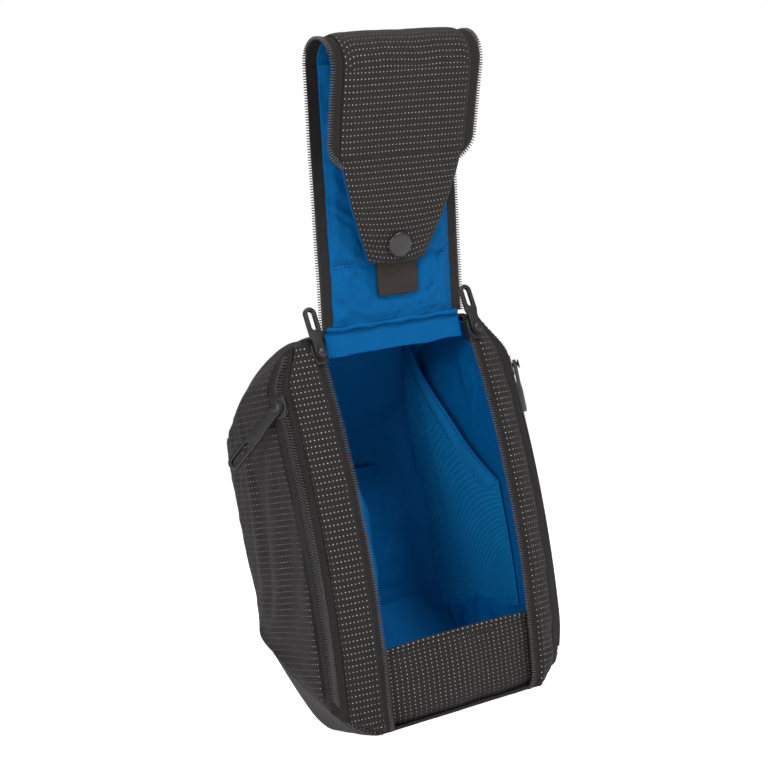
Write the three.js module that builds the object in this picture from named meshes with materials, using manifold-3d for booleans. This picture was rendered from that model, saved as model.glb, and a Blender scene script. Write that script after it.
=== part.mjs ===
// A toiletry bag that stands on its flat bottom end, mouth open to the front, with its long
// flap turned up, folded over and snapped to itself as a hanging loop. Millimetres, +Z up,
// X across, the mouth faces -Y. The origin is the middle of the flat bottom.
import * as THREE from 'three';
import { mergeVertices } from 'three/addons/utils/BufferGeometryUtils.js';
import Module from 'manifold-3d';

const wasm = await Module();
wasm.setup();

// Driving dimensions of the bag.
const bagLength = 226;
const bagDepth = 102;
const overallWidth = 164;
const mouthWidth = 98;
const mouthBow = 13;
const topFlatDepth = 66;
const topShoulderDrop = 58;
const baseFlatDepth = 62;
const baseShoulderRise = 60;
const pocketTrackInset = 4.5;
const pocketSetback = 11;
const cornerStart = 57.5;
const cornerQuickClimb = 12;
const cornerQuickDepth = 6;
const cornerSlope = 0.55;
const cornerHigh = 62;
const topCornerLead = 1;
const topCornerSlope = 0.58;

// Cloth, tape and zipper sizes.
const shellCloth = 1.6;
const liningCloth = 0.8;
const flapCloth = 1.2;
const seamGap = 0.3;
const tapeThickness = 1;
const mainTapeWidth = 8;
const chainWidth = 2.4;
const chainThickness = 2.2;
const chainGap = 0.6;
const pocketTapeWidth = 13;
const coilWidth = 4.6;
const coilHeight = 1.5;
const coilLift = 0.45;

// The flap, measured along its middle from the hinge.
const hingeForward = 2.6;
const hingeRise = 1.3;
const hingeCord = 3.2;
const flapLean = 14.4;
const flapStraight = 146;
const foldRadius = 14.5;
const upperRun = 40.6;
const endRun = 13.4;
const tongueRun = 57;
const flapTapeShown = 9;
const tongueRootStep = 2;
const tongueTipWidth = 35;
const snapStandoff = 6.4;
const snapFromTip = 11;
const foldClearance = 0.8;

// Inside pieces.
const compartmentLip = 5.6;
const frontPanelHeight = 46;
const frontPanelSetback = 3.8;
const valanceHeight = 12;
const valanceSetback = 1.4;
const meshFootGap = 1.8;
const meshFront = 12;
const meshRearGap = 12;
const meshEdgeLow = 112;
const meshEdgeHigh = 216;
const meshEdgeReach = 58;
const meshStandoff = 9;
const meshCloth = 1;
const bindingWidth = 3;
const slipBottom = 66;
const slipTopDrop = 86;
const slipWidth = 84;
const slipStandoff = 6;
const hemHeight = 6;

// Handle, webbing and snap.
const strapWidth = 25;
const strapThickness = 2;
const handleStart = 6;
const handleEnd = 64;
const handleArch = 15;
const tabLength = 9;
const webbingLength = 34;
const webbingThickness = 1.5;
const capDiameter = 15.2;
const capHeight = 2.6;
const socketDiameter = 9.6;
const socketBore = 6;
const socketHeight = 2.4;
const studBaseDiameter = 8.4;
const studBaseHeight = 0.6;
const studDiameter = 4;
const studHeight = 2.2;

// Sliders and pulls.
const sliderLength = 12;
const sliderPlate = 1.3;
const sliderPlay = 0.4;
const mainSliderWidth = 8.8;
const pocketSliderWidth = 9;
const mainSliderTop = 0.975;
const pocketSliderTop = 0.865;
const postDiameter = 2.8;
const postRise = 0.6;
const postHeadDiameter = 5.4;
const postHead = 0.9;
const mainPullLength = 27;
const pocketPullLength = 45;
const pullWidth = 8;
const pullThickness = 2.2;
const pullEye = 3.6;
const pullSlotLength = 13;
const pullSlotWidth = 3.4;
const pocketPullAngle = 58;

// Shares and powers that shape rounded profiles.
const coilShoulderShare = 0.7;
const cornerPower = 1.6;
const cornerRoom = 6;
const cornerSoftness = 16;
const meshEdgePower = 1.35;
const meshBulgePower = 0.7;
const handleArchPower = 1.2;
const tipRoundShare = 0.2;
const capRimShare = 0.45;
const capDomeWidthShares = [0.44, 0.3];
const capDomeHeightShares = [0.8, 0.95];

const degree = Math.PI / 180;

// Materials.
function finish(color, roughness, metalness = 0) {
  return new THREE.MeshStandardMaterial({ color, roughness, metalness });
}
const dottedCloth = finish(0x3c3838, 0.85);
const darkTape = finish(0x221d1b, 0.9);
const zipperTeeth = finish(0x17161a, 0.45);
const blueLining = finish(0x0e6cb4, 0.7);
const blueMesh = finish(0x0b4f92, 0.8);
const webbingCloth = finish(0x2a211d, 0.9);
const darkMetal = finish(0x2c2c2e, 0.4, 0.7);
const mouldedPull = finish(0x202022, 0.55);

const bag = new THREE.Group();
bag.position.y = -baseFlatDepth / 2;

function addMesh(name, geometry, material, parent = bag) {
  const mesh = new THREE.Mesh(geometry, material);
  mesh.name = name;
  parent.add(mesh);
  return mesh;
}

// A closed body from points and triangles, turned so that its faces look outwards.
function closedFrom(positions, indices) {
  let geometry = new THREE.BufferGeometry();
  geometry.setAttribute('position', new THREE.Float32BufferAttribute(positions, 3));
  geometry.setIndex(indices);
  geometry = mergeVertices(geometry, 1e-4);
  if (signedVolume(geometry) < 0) {
    flip(geometry);
  }
  geometry.computeVertexNormals();
  return geometry;
}

function signedVolume(geometry) {
  const p = geometry.attributes.position;
  const index = geometry.index.array;
  const a = new THREE.Vector3();
  const b = new THREE.Vector3();
  const c = new THREE.Vector3();
  let volume = 0;
  for (let i = 0; i < index.length; i += 3) {
    a.fromBufferAttribute(p, index[i]);
    b.fromBufferAttribute(p, index[i + 1]);
    c.fromBufferAttribute(p, index[i + 2]);
    volume += a.dot(b.cross(c));
  }
  return volume;
}

function flip(geometry) {
  const index = geometry.index.array;
  for (let i = 0; i < index.length; i += 3) {
    const swap = index[i + 1];
    index[i + 1] = index[i + 2];
    index[i + 2] = swap;
  }
}

// A curved sheet of even thickness: face(u, v) gives its front, and its back lies behind it by
// thickness, against the side that faceNormal points to.
function sheet(face, thickness, columns, rows) {
  const step = 1e-3;
  function faceNormal(u, v) {
    const u0 = Math.max(0, u - step);
    const u1 = Math.min(1, u + step);
    const v0 = Math.max(0, v - step);
    const v1 = Math.min(1, v + step);
    const along = face(u1, v).sub(face(u0, v));
    const across = face(u, v1).sub(face(u, v0));
    return along.cross(across).normalize();
  }
  const positions = [];
  const front = [];
  const back = [];
  for (let j = 0; j <= rows; j += 1) {
    front.push([]);
    back.push([]);
    for (let i = 0; i <= columns; i += 1) {
      const u = i / columns;
      const v = j / rows;
      const p = face(u, v);
      const q = p.clone().addScaledVector(faceNormal(u, v), -thickness);
      front[j].push(positions.length / 3);
      positions.push(p.x, p.y, p.z);
      back[j].push(positions.length / 3);
      positions.push(q.x, q.y, q.z);
    }
  }
  const indices = [];
  function quad(a, b, c, d) {
    indices.push(a, b, c, a, c, d);
  }
  for (let j = 0; j < rows; j += 1) {
    for (let i = 0; i < columns; i += 1) {
      quad(front[j][i], front[j][i + 1], front[j + 1][i + 1], front[j + 1][i]);
      quad(back[j][i], back[j + 1][i], back[j + 1][i + 1], back[j][i + 1]);
    }
    quad(front[j][0], front[j + 1][0], back[j + 1][0], back[j][0]);
    quad(front[j][columns], back[j][columns], back[j + 1][columns], front[j + 1][columns]);
  }
  for (let i = 0; i < columns; i += 1) {
    quad(front[0][i], back[0][i], back[0][i + 1], front[0][i + 1]);
    quad(front[rows][i], front[rows][i + 1], back[rows][i + 1], back[rows][i]);
  }
  return closedFrom(positions, indices);
}

// A solid of one flat outline carried along places: place(k, point) puts an outline point at
// the k-th of steps + 1 stations.
function carried(outline, steps, place) {
  const positions = [];
  const count = outline.length;
  for (let k = 0; k <= steps; k += 1) {
    for (const point of outline) {
      const p = place(k / steps, point);
      positions.push(p.x, p.y, p.z);
    }
  }
  const indices = [];
  for (let k = 0; k < steps; k += 1) {
    for (let i = 0; i < count; i += 1) {
      const next = (i + 1) % count;
      const a = k * count + i;
      const b = k * count + next;
      indices.push(a, b, b + count, a, b + count, a + count);
    }
  }
  const caps = THREE.ShapeUtils.triangulateShape(outline, []);
  const last = steps * count;
  const turn = THREE.ShapeUtils.isClockWise(outline) ? -1 : 1;
  for (const [a, b, c] of caps) {
    if (turn > 0) {
      indices.push(a, c, b, last + a, last + b, last + c);
    } else {
      indices.push(a, b, c, last + a, last + c, last + b);
    }
  }
  return closedFrom(positions, indices);
}

const point2 = (x, y) => new THREE.Vector2(x, y);

// The bag's form.
// Depth is measured from the mouth; the mouth bows forward and the back stays flat.
const mouthHalf = mouthWidth / 2;
const overallHalf = overallWidth / 2;
const pocketTrackHalf = overallHalf - pocketTrackInset;
const chainInner = mouthHalf + chainGap;
const mainTapeOuter = chainInner + chainWidth / 2 + mainTapeWidth;
const midHeight = bagLength / 2;

function bowAt(z) {
  const away = (z - midHeight) / midHeight;
  return mouthBow * (1 - away * away);
}

function yAt(depth, z) {
  return depth - bowAt(z) * (1 - depth / bagDepth);
}

// The end panels' heights: flat to a ridge, then sloping to the back. What lies inside them by
// some gap keeps that gap square to the slope too.
const topSlope = topShoulderDrop / (bagDepth - topFlatDepth);
const baseSlope = baseShoulderRise / (bagDepth - baseFlatDepth);

function topAt(depth, inside = 0) {
  const slope = bagLength - topSlope * (depth - topFlatDepth) - inside * Math.hypot(1, topSlope);
  return Math.min(bagLength - inside, slope);
}

function baseAt(depth, inside = 0) {
  const slope = baseSlope * (depth - baseFlatDepth) + inside * Math.hypot(1, baseSlope);
  return Math.max(inside, slope);
}

// The bottom end's corners turn up: the flanks' lower edges climb from the mouth to the back.
function flankLow(depth) {
  const back = Math.max(0, depth);
  const climb = cornerQuickClimb * (1 - Math.exp(-back / cornerQuickDepth)) + cornerSlope * back;
  const share = THREE.MathUtils.clamp(0.5 + 0.5 * (cornerHigh - climb) / cornerSoftness, 0, 1);
  const eased = cornerHigh * (1 - share) + climb * share - cornerSoftness * share * (1 - share);
  return Math.max(baseAt(depth), eased);
}

// The top end's corners turn down in the same way.
function flankHigh(depth) {
  return Math.min(topAt(depth), bagLength + topCornerLead - topCornerSlope * depth);
}

// How far the flanks swell at a height, drawn in at the two ends.
const topSwellShare = 0.3;
const topShoulderShare = 0.87;
const baseSwellShare = 0.8;
const baseShoulderShare = 0.05;

function swellAt(z) {
  const share = z / bagLength;
  const top = THREE.MathUtils.smoothstep(share, topShoulderShare, 1);
  const base = 1 - THREE.MathUtils.smoothstep(share, 0, baseShoulderShare);
  return 1 - (1 - topSwellShare) * top - (1 - baseSwellShare) * base;
}

// The flank's outline in plan, from the main tape's outer edge round to the back panel.
const pocketTapeSlantShare = 0.55;
const flankTapeIn = pocketTrackHalf - pocketTapeWidth * pocketTapeSlantShare / 2;
const flankTapeOut = pocketTrackHalf + pocketTapeWidth * pocketTapeSlantShare / 2;
const tapeDrop = pocketTapeWidth * Math.sqrt(1 - pocketTapeSlantShare ** 2) / 2;
const faceWidthShares = [1, 0.985, 0.93, 0.83, 0.7];
const faceDepthShares = [0.45, 0.66, 0.84, 0.945, 0.99];
const flankOutline = new THREE.SplineCurve([
  point2(mainTapeOuter + seamGap, tapeThickness / 2),
  point2(flankTapeIn, pocketSetback - tapeDrop),
  point2(pocketTrackHalf, pocketSetback),
  point2(flankTapeOut, pocketSetback + tapeDrop),
  ...faceWidthShares.map((share, i) => point2(share * overallHalf, faceDepthShares[i] * bagDepth)),
]);
const flankStations = flankOutline.points.length - 1;
const bandEnd = 1 / flankStations;
const tapeMiddle = 2 / flankStations;
const tapeEnd = 3 / flankStations;
const seamShare = 0.006;

function swollen(width, z) {
  if (width <= mainTapeOuter) {
    return width;
  }
  return mainTapeOuter + (width - mainTapeOuter) * swellAt(z);
}

// A point of the flank: share runs along the outline, rise from the bottom edge to the top.
function flankPoint(side, share, rise, lift = 0) {
  const at = flankOutline.getPoint(share);
  const tangent = flankOutline.getTangent(share);
  const width = at.x + tangent.y * lift;
  const depth = at.y - tangent.x * lift;
  const low = flankLow(depth) + seamGap;
  const high = flankHigh(depth) - seamGap;
  const z = low + (high - low) * rise;
  return new THREE.Vector3(side * swollen(width, z), yAt(depth, z), z);
}

// Half the width between the flanks at a depth and height.
function halfWidthAt(depth, z) {
  const first = flankOutline.getPoint(0);
  if (depth <= first.y) {
    return mainTapeOuter;
  }
  let low = 0;
  let high = 1;
  const halvings = 24;
  for (let i = 0; i < halvings; i += 1) {
    const middle = (low + high) / 2;
    if (flankOutline.getPoint(middle).y < depth) {
      low = middle;
    } else {
      high = middle;
    }
  }
  return swollen(flankOutline.getPoint(low).x, z);
}

const flankColumns = 3;
const heightRows = 20;

for (const [label, side] of [['left', -1], ['right', 1]]) {
  const flank = (from, to) => (u, v) => {
    const share = from + (to - from) * (side > 0 ? u : 1 - u);
    return flankPoint(side, share, v);
  };
  addMesh(`flank_band_${label}`, sheet(flank(0, bandEnd - seamShare), shellCloth, flankColumns, heightRows),
    dottedCloth);
  addMesh(`pocket_tape_${label}`, sheet(flank(bandEnd, tapeEnd - seamShare), tapeThickness, 4, heightRows),
    darkTape);
  addMesh(`pocket_face_${label}`, sheet(flank(tapeEnd, 1), shellCloth, 10, heightRows), dottedCloth);

  // The zipped coil rides on the middle of its tape.
  const coilOutline = [
    point2(-coilWidth / 2, coilLift),
    point2(coilWidth / 2, coilLift),
    point2(coilWidth / 2, coilLift + coilHeight * coilShoulderShare),
    point2(0, coilLift + coilHeight),
    point2(-coilWidth / 2, coilLift + coilHeight * coilShoulderShare),
  ];
  const sharePerWidth = 2 * (tapeMiddle - bandEnd) / pocketTapeWidth;
  addMesh(`pocket_coil_${label}`, carried(coilOutline, heightRows, (rise, p) => (
    flankPoint(side, tapeMiddle + p.x * sharePerWidth, rise, p.y)
  )), zipperTeeth);

  // The mouth's own zipper half: a row of teeth on the edge of its tape.
  const halfTape = tapeThickness / 2;
  const halfChain = chainThickness / 2;
  const zipOutline = [
    point2(chainInner, -halfChain),
    point2(chainInner + chainWidth, -halfChain),
    point2(chainInner + chainWidth, -halfTape),
    point2(mainTapeOuter, -halfTape),
    point2(mainTapeOuter, halfTape),
    point2(chainInner + chainWidth, halfTape),
    point2(chainInner + chainWidth, halfChain),
    point2(chainInner, halfChain),
  ];
  const zipEnds = shellCloth + 2 * seamGap;
  addMesh(`main_zip_${label}`, carried(zipOutline, heightRows, (share, p) => {
    const z = zipEnds + (bagLength - 2 * zipEnds) * share;
    return new THREE.Vector3(side * p.x, yAt(p.y, z), z);
  }), zipperTeeth);
}

// End panels and their linings: across the bag between the flanks, following the shoulders.
const endInset = shellCloth + 4 * seamGap;
function ridgeAt(flatDepth, slope, inside) {
  return flatDepth - inside * (Math.hypot(1, slope) - 1) / slope;
}

function endPanel(heightAt, inside, depthFrom, depthTo, inset, flipU) {
  const ridge = heightAt === topAt
    ? ridgeAt(topFlatDepth, topSlope, inside)
    : ridgeAt(baseFlatDepth, baseSlope, inside);
  return (u, v) => {
    const depth = v < 0.5
      ? depthFrom + (ridge - depthFrom) * 2 * v
      : ridge + (depthTo - ridge) * (2 * v - 1);
    const z = heightAt(depth, inside);
    const near = halfWidthAt(depth - inset.by, heightAt(depth));
    const far = halfWidthAt(depth + inset.by, heightAt(depth));
    const half = Math.min(inset.limit ?? Infinity, Math.min(near, far) - inset.by);
    const across = flipU ? 1 - 2 * u : 2 * u - 1;
    return new THREE.Vector3(across * half, yAt(depth, z), z);
  };
}
const panelRows = 12;
const panelRear = bagDepth - shellCloth - 2 * seamGap;
const panelFront = -seamGap * 3;

// The end panels are flat across their middle and turn to meet the flanks at both sides.
function turnedPanel(heightAt, edgeAt, depthFrom, ridge, direction) {
  return (u, v) => {
    const depth = v < 0.5
      ? depthFrom + (ridge - depthFrom) * 2 * v
      : ridge + (panelRear - ridge) * (2 * v - 1);
    const edge = edgeAt(depth);
    const near = halfWidthAt(depth - endInset, edge);
    const far = halfWidthAt(depth + endInset, edge);
    const half = Math.min(near, far) - endInset - 2 * seamGap;
    const flatHalf = Math.min(cornerStart, half - seamGap);
    const across = direction * (2 * u - 1);
    const share = Math.max(0, 2 * Math.abs(across) - 1);
    const x = Math.sign(across) * (flatHalf * Math.min(1, 2 * Math.abs(across)) + (half - flatHalf) * share);
    const room = THREE.MathUtils.clamp((half - cornerStart) / cornerRoom, 0, 1);
    const z = heightAt(depth) + (edge - heightAt(depth)) * room * share ** cornerPower;
    return new THREE.Vector3(x, yAt(depth, z), z);
  };
}
const endColumns = 24;
addMesh('top_panel', sheet(turnedPanel(topAt, flankHigh, panelFront, topFlatDepth, 1),
  shellCloth, endColumns, panelRows), dottedCloth);
addMesh('base_panel', sheet(turnedPanel(baseAt, flankLow, seamGap, baseFlatDepth, -1),
  shellCloth, endColumns, panelRows), dottedCloth);

const liningHalf = mouthHalf + compartmentLip;
const liningDrop = shellCloth + 2 * seamGap;
const liningRear = bagDepth - shellCloth - liningCloth - 4 * seamGap;
const liningFront = tapeThickness / 2 + sliderPlay + sliderPlate + 2 * sliderPlate;
const liningInset = { by: 0, limit: liningHalf - seamGap };
const frontStack = frontPanelSetback + shellCloth + liningCloth + 3 * seamGap;
addMesh('lining_top', sheet(endPanel(topAt, liningDrop, liningFront, liningRear, liningInset, false),
  liningCloth, 2, panelRows), blueLining);
addMesh('lining_base', sheet(endPanel(baseAt, liningDrop, frontStack, liningRear, liningInset, true),
  liningCloth, 2, panelRows), blueLining);

for (const [label, side] of [['left', -1], ['right', 1]]) {
  addMesh(`lining_${label}`, sheet((u, v) => {
    const share = side > 0 ? u : 1 - u;
    const depth = liningFront + (liningRear - liningFront) * share;
    const low = baseAt(depth, liningDrop);
    const high = topAt(depth, liningDrop);
    const z = low + (high - low) * v;
    return new THREE.Vector3(side * (liningHalf + liningCloth), yAt(depth, z), z);
  }, liningCloth, 8, heightRows), blueLining);
}

// Upright sheets across the bag.
function acrossSheet(depthAt, half, low, high, centre = 0) {
  return (u, v) => {
    const z = low + (high - low) * v;
    const x = centre + (2 * u - 1) * half;
    return new THREE.Vector3(x, yAt(depthAt(x, z), z), z);
  };
}
const backEdge = flankOutline.getPoint(1);
addMesh('back_panel', sheet((u, v) => {
  const low = baseAt(bagDepth) + seamGap;
  const high = topAt(bagDepth) - seamGap;
  const z = low + (high - low) * v;
  return new THREE.Vector3((1 - 2 * u) * (backEdge.x - seamGap), bagDepth, z);
}, shellCloth, 4, 6), dottedCloth);
addMesh('lining_back', sheet((u, v) => {
  const low = baseAt(liningRear, liningDrop + 2 * liningCloth);
  const high = topAt(liningRear, liningDrop + 2 * liningCloth);
  const z = low + (high - low) * v;
  return new THREE.Vector3((1 - 2 * u) * (liningHalf - seamGap), liningRear + liningCloth + seamGap, z);
}, liningCloth, 4, 6), blueLining);

const frontHalf = liningHalf - 2 * seamGap;
const frontLow = shellCloth + 2 * seamGap;
addMesh('front_panel', sheet(acrossSheet(() => frontPanelSetback, frontHalf, frontLow, frontPanelHeight),
  shellCloth, 4, 6), dottedCloth);
addMesh('lining_front', sheet(acrossSheet(() => frontPanelSetback + shellCloth + seamGap, frontHalf,
  frontLow + liningCloth, frontPanelHeight - seamGap), liningCloth, 4, 6), blueLining);

// The flap's seam: a piped cord along the hinge. A short lining valance hangs under the top
// panel behind it, clear of the closed flap.
const hingeY = -hingeForward;
const hingeZ = bagLength + hingeRise;
const hingeLength = 2 * (mouthHalf - hingeForward / 2);
const cord = new THREE.CylinderGeometry(hingeCord / 2, hingeCord / 2, hingeLength, 12);
cord.rotateZ(Math.PI / 2);
addMesh('hinge_piping', cord, darkTape).position.set(0, hingeY, hingeZ);
const valanceTop = bagLength - shellCloth - seamGap;
addMesh('hinge_valance', sheet((u, v) => new THREE.Vector3(
  (2 * u - 1) * (hingeLength / 2 - chainGap),
  hingeY + valanceSetback,
  valanceTop - valanceHeight + valanceHeight * v,
), liningCloth, 4, 3), blueLining);

// Mesh pocket on the right wall: closed along its front, rear and bottom, open along its top.
const meshEdgeX = liningHalf - seamGap - meshCloth;
const meshRear = bagDepth - meshRearGap;
const meshBottom = baseAt(meshRear, liningDrop + liningCloth) + meshFootGap;
// Its free edge climbs from the mouth up to the top lining.
function meshTopAt(depth) {
  const free = meshEdgeLow + (meshEdgeHigh - meshEdgeLow) * (depth / meshEdgeReach) ** meshEdgePower;
  return Math.min(free, topAt(depth, liningDrop + liningCloth + 2 * seamGap));
}
function meshX(share, rise) {
  return meshEdgeX - meshStandoff * Math.sin(Math.PI * share) * Math.sin(Math.PI / 2 * rise) ** meshBulgePower;
}
const meshColumns = 12;
addMesh('mesh_pocket', sheet((u, v) => {
  const share = 1 - u;
  const depth = meshFront + (meshRear - meshFront) * share;
  const z = meshBottom + (meshTopAt(depth) - meshBottom) * v;
  return new THREE.Vector3(meshX(share, v), yAt(depth, z), z);
}, meshCloth, meshColumns, 8), blueMesh);
const bindingOutline = [
  point2(-bindingWidth / 2, 0),
  point2(0, -bindingWidth / 2),
  point2(bindingWidth / 2, 0),
  point2(0, bindingWidth / 2),
];
const bindingShare = (meshEdgeReach - bindingWidth - meshFront) / (meshRear - meshFront);
addMesh('mesh_pocket_binding', carried(bindingOutline, meshColumns, (along, p) => {
  const share = bindingShare * along;
  const depth = meshFront + (meshRear - meshFront) * share;
  const z = meshTopAt(depth) + bindingWidth / 2 + seamGap;
  const x = meshX(share, 1) - bindingWidth / 4;
  return new THREE.Vector3(x + p.x, yAt(depth, z), z + p.y);
}), blueLining);

// Slip pocket on the back wall, open along its top.
const slipTop = bagLength - slipTopDrop;
function slipDepth(share, rise) {
  return liningRear - seamGap - slipStandoff * Math.sin(Math.PI * share) * Math.sin(Math.PI / 2 * rise);
}
const slipLeft = -liningHalf + 2 * seamGap + liningCloth;
addMesh('slip_pocket', sheet((u, v) => {
  const z = slipBottom + (slipTop - slipBottom) * v;
  return new THREE.Vector3(slipLeft + slipWidth * u, slipDepth(u, v) - liningCloth, z);
}, liningCloth, meshColumns, 6), blueLining);
addMesh('slip_pocket_hem', sheet((u, v) => {
  const z = slipTop + seamGap + hemHeight * v;
  return new THREE.Vector3(slipLeft + slipWidth * u, slipDepth(u, 1) - liningCloth, z);
}, liningCloth, meshColumns, 1), darkTape);

// Grab handle over the top end, with a cloth tab behind it.
const handleFoot = bagLength + seamGap + strapThickness;
addMesh('grab_handle', sheet((u, v) => {
  const y = handleStart + (handleEnd - handleStart) * v;
  const lift = handleArch * Math.sin(Math.PI * v) ** handleArchPower;
  return new THREE.Vector3((2 * u - 1) * strapWidth / 2, y, handleFoot + lift);
}, strapThickness, 2, 18), webbingCloth);
const tabLift = seamGap + webbingThickness;
const tabStart = ridgeAt(topFlatDepth, topSlope, -tabLift) + seamGap;
addMesh('handle_tab', sheet((u, v) => {
  const depth = tabStart + tabLength * v;
  return new THREE.Vector3((2 * u - 1) * strapWidth / 2, depth, topAt(depth, -tabLift));
}, webbingThickness, 2, 4), blueLining);

// The flap. Its middle line goes up from the hinge, round the fold and down to the snap.
const hangRun = upperRun + endRun + tongueRun;
function snapSide(turn) {
  return hangRun * Math.sin(turn) + snapStandoff - foldRadius * (1 + Math.cos(turn));
}
let turnLow = 0;
let turnHigh = Math.PI / 4;
const turnHalvings = 40;
for (let i = 0; i < turnHalvings; i += 1) {
  const middle = (turnLow + turnHigh) / 2;
  if (snapSide(middle) < 0) {
    turnLow = middle;
  } else {
    turnHigh = middle;
  }
}
const extraTurn = turnLow;
const foldRun = foldRadius * (Math.PI + extraTurn);
const foldStart = flapStraight;
const foldEnd = foldStart + foldRun;
const wrapAt = foldEnd + upperRun;
const rootAt = wrapAt + endRun;
const tipAt = rootAt + tongueRun;

// Where the flap's middle line is, and which way its outer face looks, at a run from the hinge.
function flapLine(run) {
  if (run <= foldStart) {
    return { y: 0, z: run, ny: 1, nz: 0 };
  }
  const turn = Math.min(Math.PI + extraTurn, (run - foldStart) / foldRadius);
  const ny = Math.cos(turn);
  const nz = Math.sin(turn);
  const past = Math.max(0, run - foldEnd);
  return {
    y: -foldRadius + foldRadius * ny - nz * past,
    z: foldStart + foldRadius * nz + ny * past,
    ny,
    nz,
  };
}

function flapPoint(x, run, lift) {
  const at = flapLine(run);
  return new THREE.Vector3(x, at.y + at.ny * lift, at.z + at.nz * lift);
}

const flap = new THREE.Group();
flap.position.set(0, hingeY, hingeZ);
flap.rotation.x = flapLean * degree;
bag.add(flap);

const flapChainOuter = mouthHalf - chainGap;
const clothHalf = mouthHalf - flapTapeShown;
const outerLift = flapCloth + seamGap / 2;
const liningLift = -seamGap / 2;

function flapCloths(label, from, to, rows, halfAt = () => clothHalf) {
  const cloth = (lift) => (u, v) => {
    const run = from + (to - from) * v;
    return flapPoint((1 - 2 * u) * halfAt(run), run, lift);
  };
  addMesh(`flap_${label}_outer`, sheet(cloth(outerLift), flapCloth, 2, rows), dottedCloth, flap);
  addMesh(`flap_${label}_lining`, sheet(cloth(liningLift), liningCloth, 2, rows), blueLining, flap);
}

function flapZips(label, from, to, rows) {
  const halfTape = tapeThickness / 2;
  const halfChain = chainThickness / 2;
  const chainStart = flapChainOuter - chainWidth;
  const outline = [
    point2(clothHalf + seamGap, -halfTape),
    point2(chainStart, -halfTape),
    point2(chainStart, -halfChain),
    point2(flapChainOuter, -halfChain),
    point2(flapChainOuter, halfChain),
    point2(chainStart, halfChain),
    point2(chainStart, halfTape),
    point2(clothHalf + seamGap, halfTape),
  ];
  for (const [sideLabel, side] of [['left', -1], ['right', 1]]) {
    addMesh(`flap_${label}_zip_${sideLabel}`, carried(outline, rows, (share, p) => (
      flapPoint(side * p.x, from + (to - from) * share, p.y)
    )), zipperTeeth, flap);
  }
}

const flapStart = hingeCord / 2 + seamGap;
const foldRows = 16;
const halfSeam = seamGap / 2;
flapCloths('lower', flapStart, foldStart - halfSeam, 4);
flapZips('lower', flapStart, foldStart - halfSeam, 4);
flapCloths('fold', foldStart + halfSeam, foldEnd, foldRows);
flapZips('fold', foldStart + halfSeam, foldEnd, foldRows);
flapCloths('upper', foldEnd + foldClearance, wrapAt - halfSeam, 2);
flapZips('upper', foldEnd + foldClearance, wrapAt - halfSeam, 2);
flapCloths('end', wrapAt + halfSeam, rootAt - halfSeam, 3);
flapZips('end', wrapAt + halfSeam, rootAt - halfSeam, 3);

// The tongue narrows to a rounded tip.
const tipRound = tongueTipWidth * tipRoundShare;
const rootHalf = clothHalf - tongueRootStep;
function tongueHalf(run) {
  const share = (run - rootAt) / tongueRun;
  const straight = rootHalf + (tongueTipWidth / 2 - rootHalf) * share;
  const short = Math.max(0, tipRound - (tipAt - run));
  return straight - (tipRound - Math.sqrt(tipRound * tipRound - short * short));
}
flapCloths('tongue', rootAt + halfSeam, tipAt - seamGap, 14, tongueHalf);

// A round piece set square on the flap's line, from one lift to another.
function roundOnFlap(name, run, profile, material) {
  const geometry = new THREE.LatheGeometry(profile, 32);
  const at = flapLine(run);
  const holder = new THREE.Group();
  holder.position.set(0, at.y, at.z);
  holder.rotation.x = Math.atan2(at.nz, at.ny);
  flap.add(holder);
  return addMesh(name, geometry, material, holder);
}
const snapRun = tipAt - snapFromTip;
const capBase = outerLift + seamGap;
roundOnFlap('snap_cap', snapRun, [
  point2(0, capBase),
  point2(capDiameter / 2, capBase),
  point2(capDiameter / 2, capBase + capHeight * capRimShare),
  ...capDomeWidthShares.map((share, i) => (
    point2(capDiameter * share, capBase + capHeight * capDomeHeightShares[i])
  )),
  point2(0, capBase + capHeight),
], darkMetal);
const socketTop = liningLift - liningCloth - seamGap;
roundOnFlap('snap_socket', snapRun, [
  point2(socketBore / 2, socketTop),
  point2(socketDiameter / 2, socketTop),
  point2(socketDiameter / 2, socketTop - socketHeight),
  point2(socketBore / 2, socketTop - socketHeight),
  point2(socketBore / 2, socketTop),
].reverse(), darkMetal);

// The webbing tab on the flap's lining carries the stud.
const snapAt = flapLine(snapRun);
const webbingHigh = snapAt.z + socketDiameter / 2;
addMesh('webbing_tab', sheet((u, v) => flapPoint(
  (1 - 2 * u) * strapWidth / 2,
  webbingHigh - webbingLength + webbingLength * v,
  socketTop,
), webbingThickness, 2, 2), webbingCloth, flap);
const studFoot = socketTop - webbingThickness - seamGap;
roundOnFlap('snap_stud', snapAt.z, [
  point2(0, studFoot - studBaseHeight - studHeight),
  point2(studDiameter / 2, studFoot - studBaseHeight - studHeight),
  point2(studDiameter / 2, studFoot - studBaseHeight),
  point2(studBaseDiameter / 2, studFoot - studBaseHeight),
  point2(studBaseDiameter / 2, studFoot),
  point2(0, studFoot),
], darkMetal);

// Sliders ride the bowed tracks, so each turns about the middle of its track's bow.
function trackRadius(depth) {
  const bow = mouthBow * (1 - depth / bagDepth);
  return (midHeight * midHeight + bow * bow) / (2 * bow);
}

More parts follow.
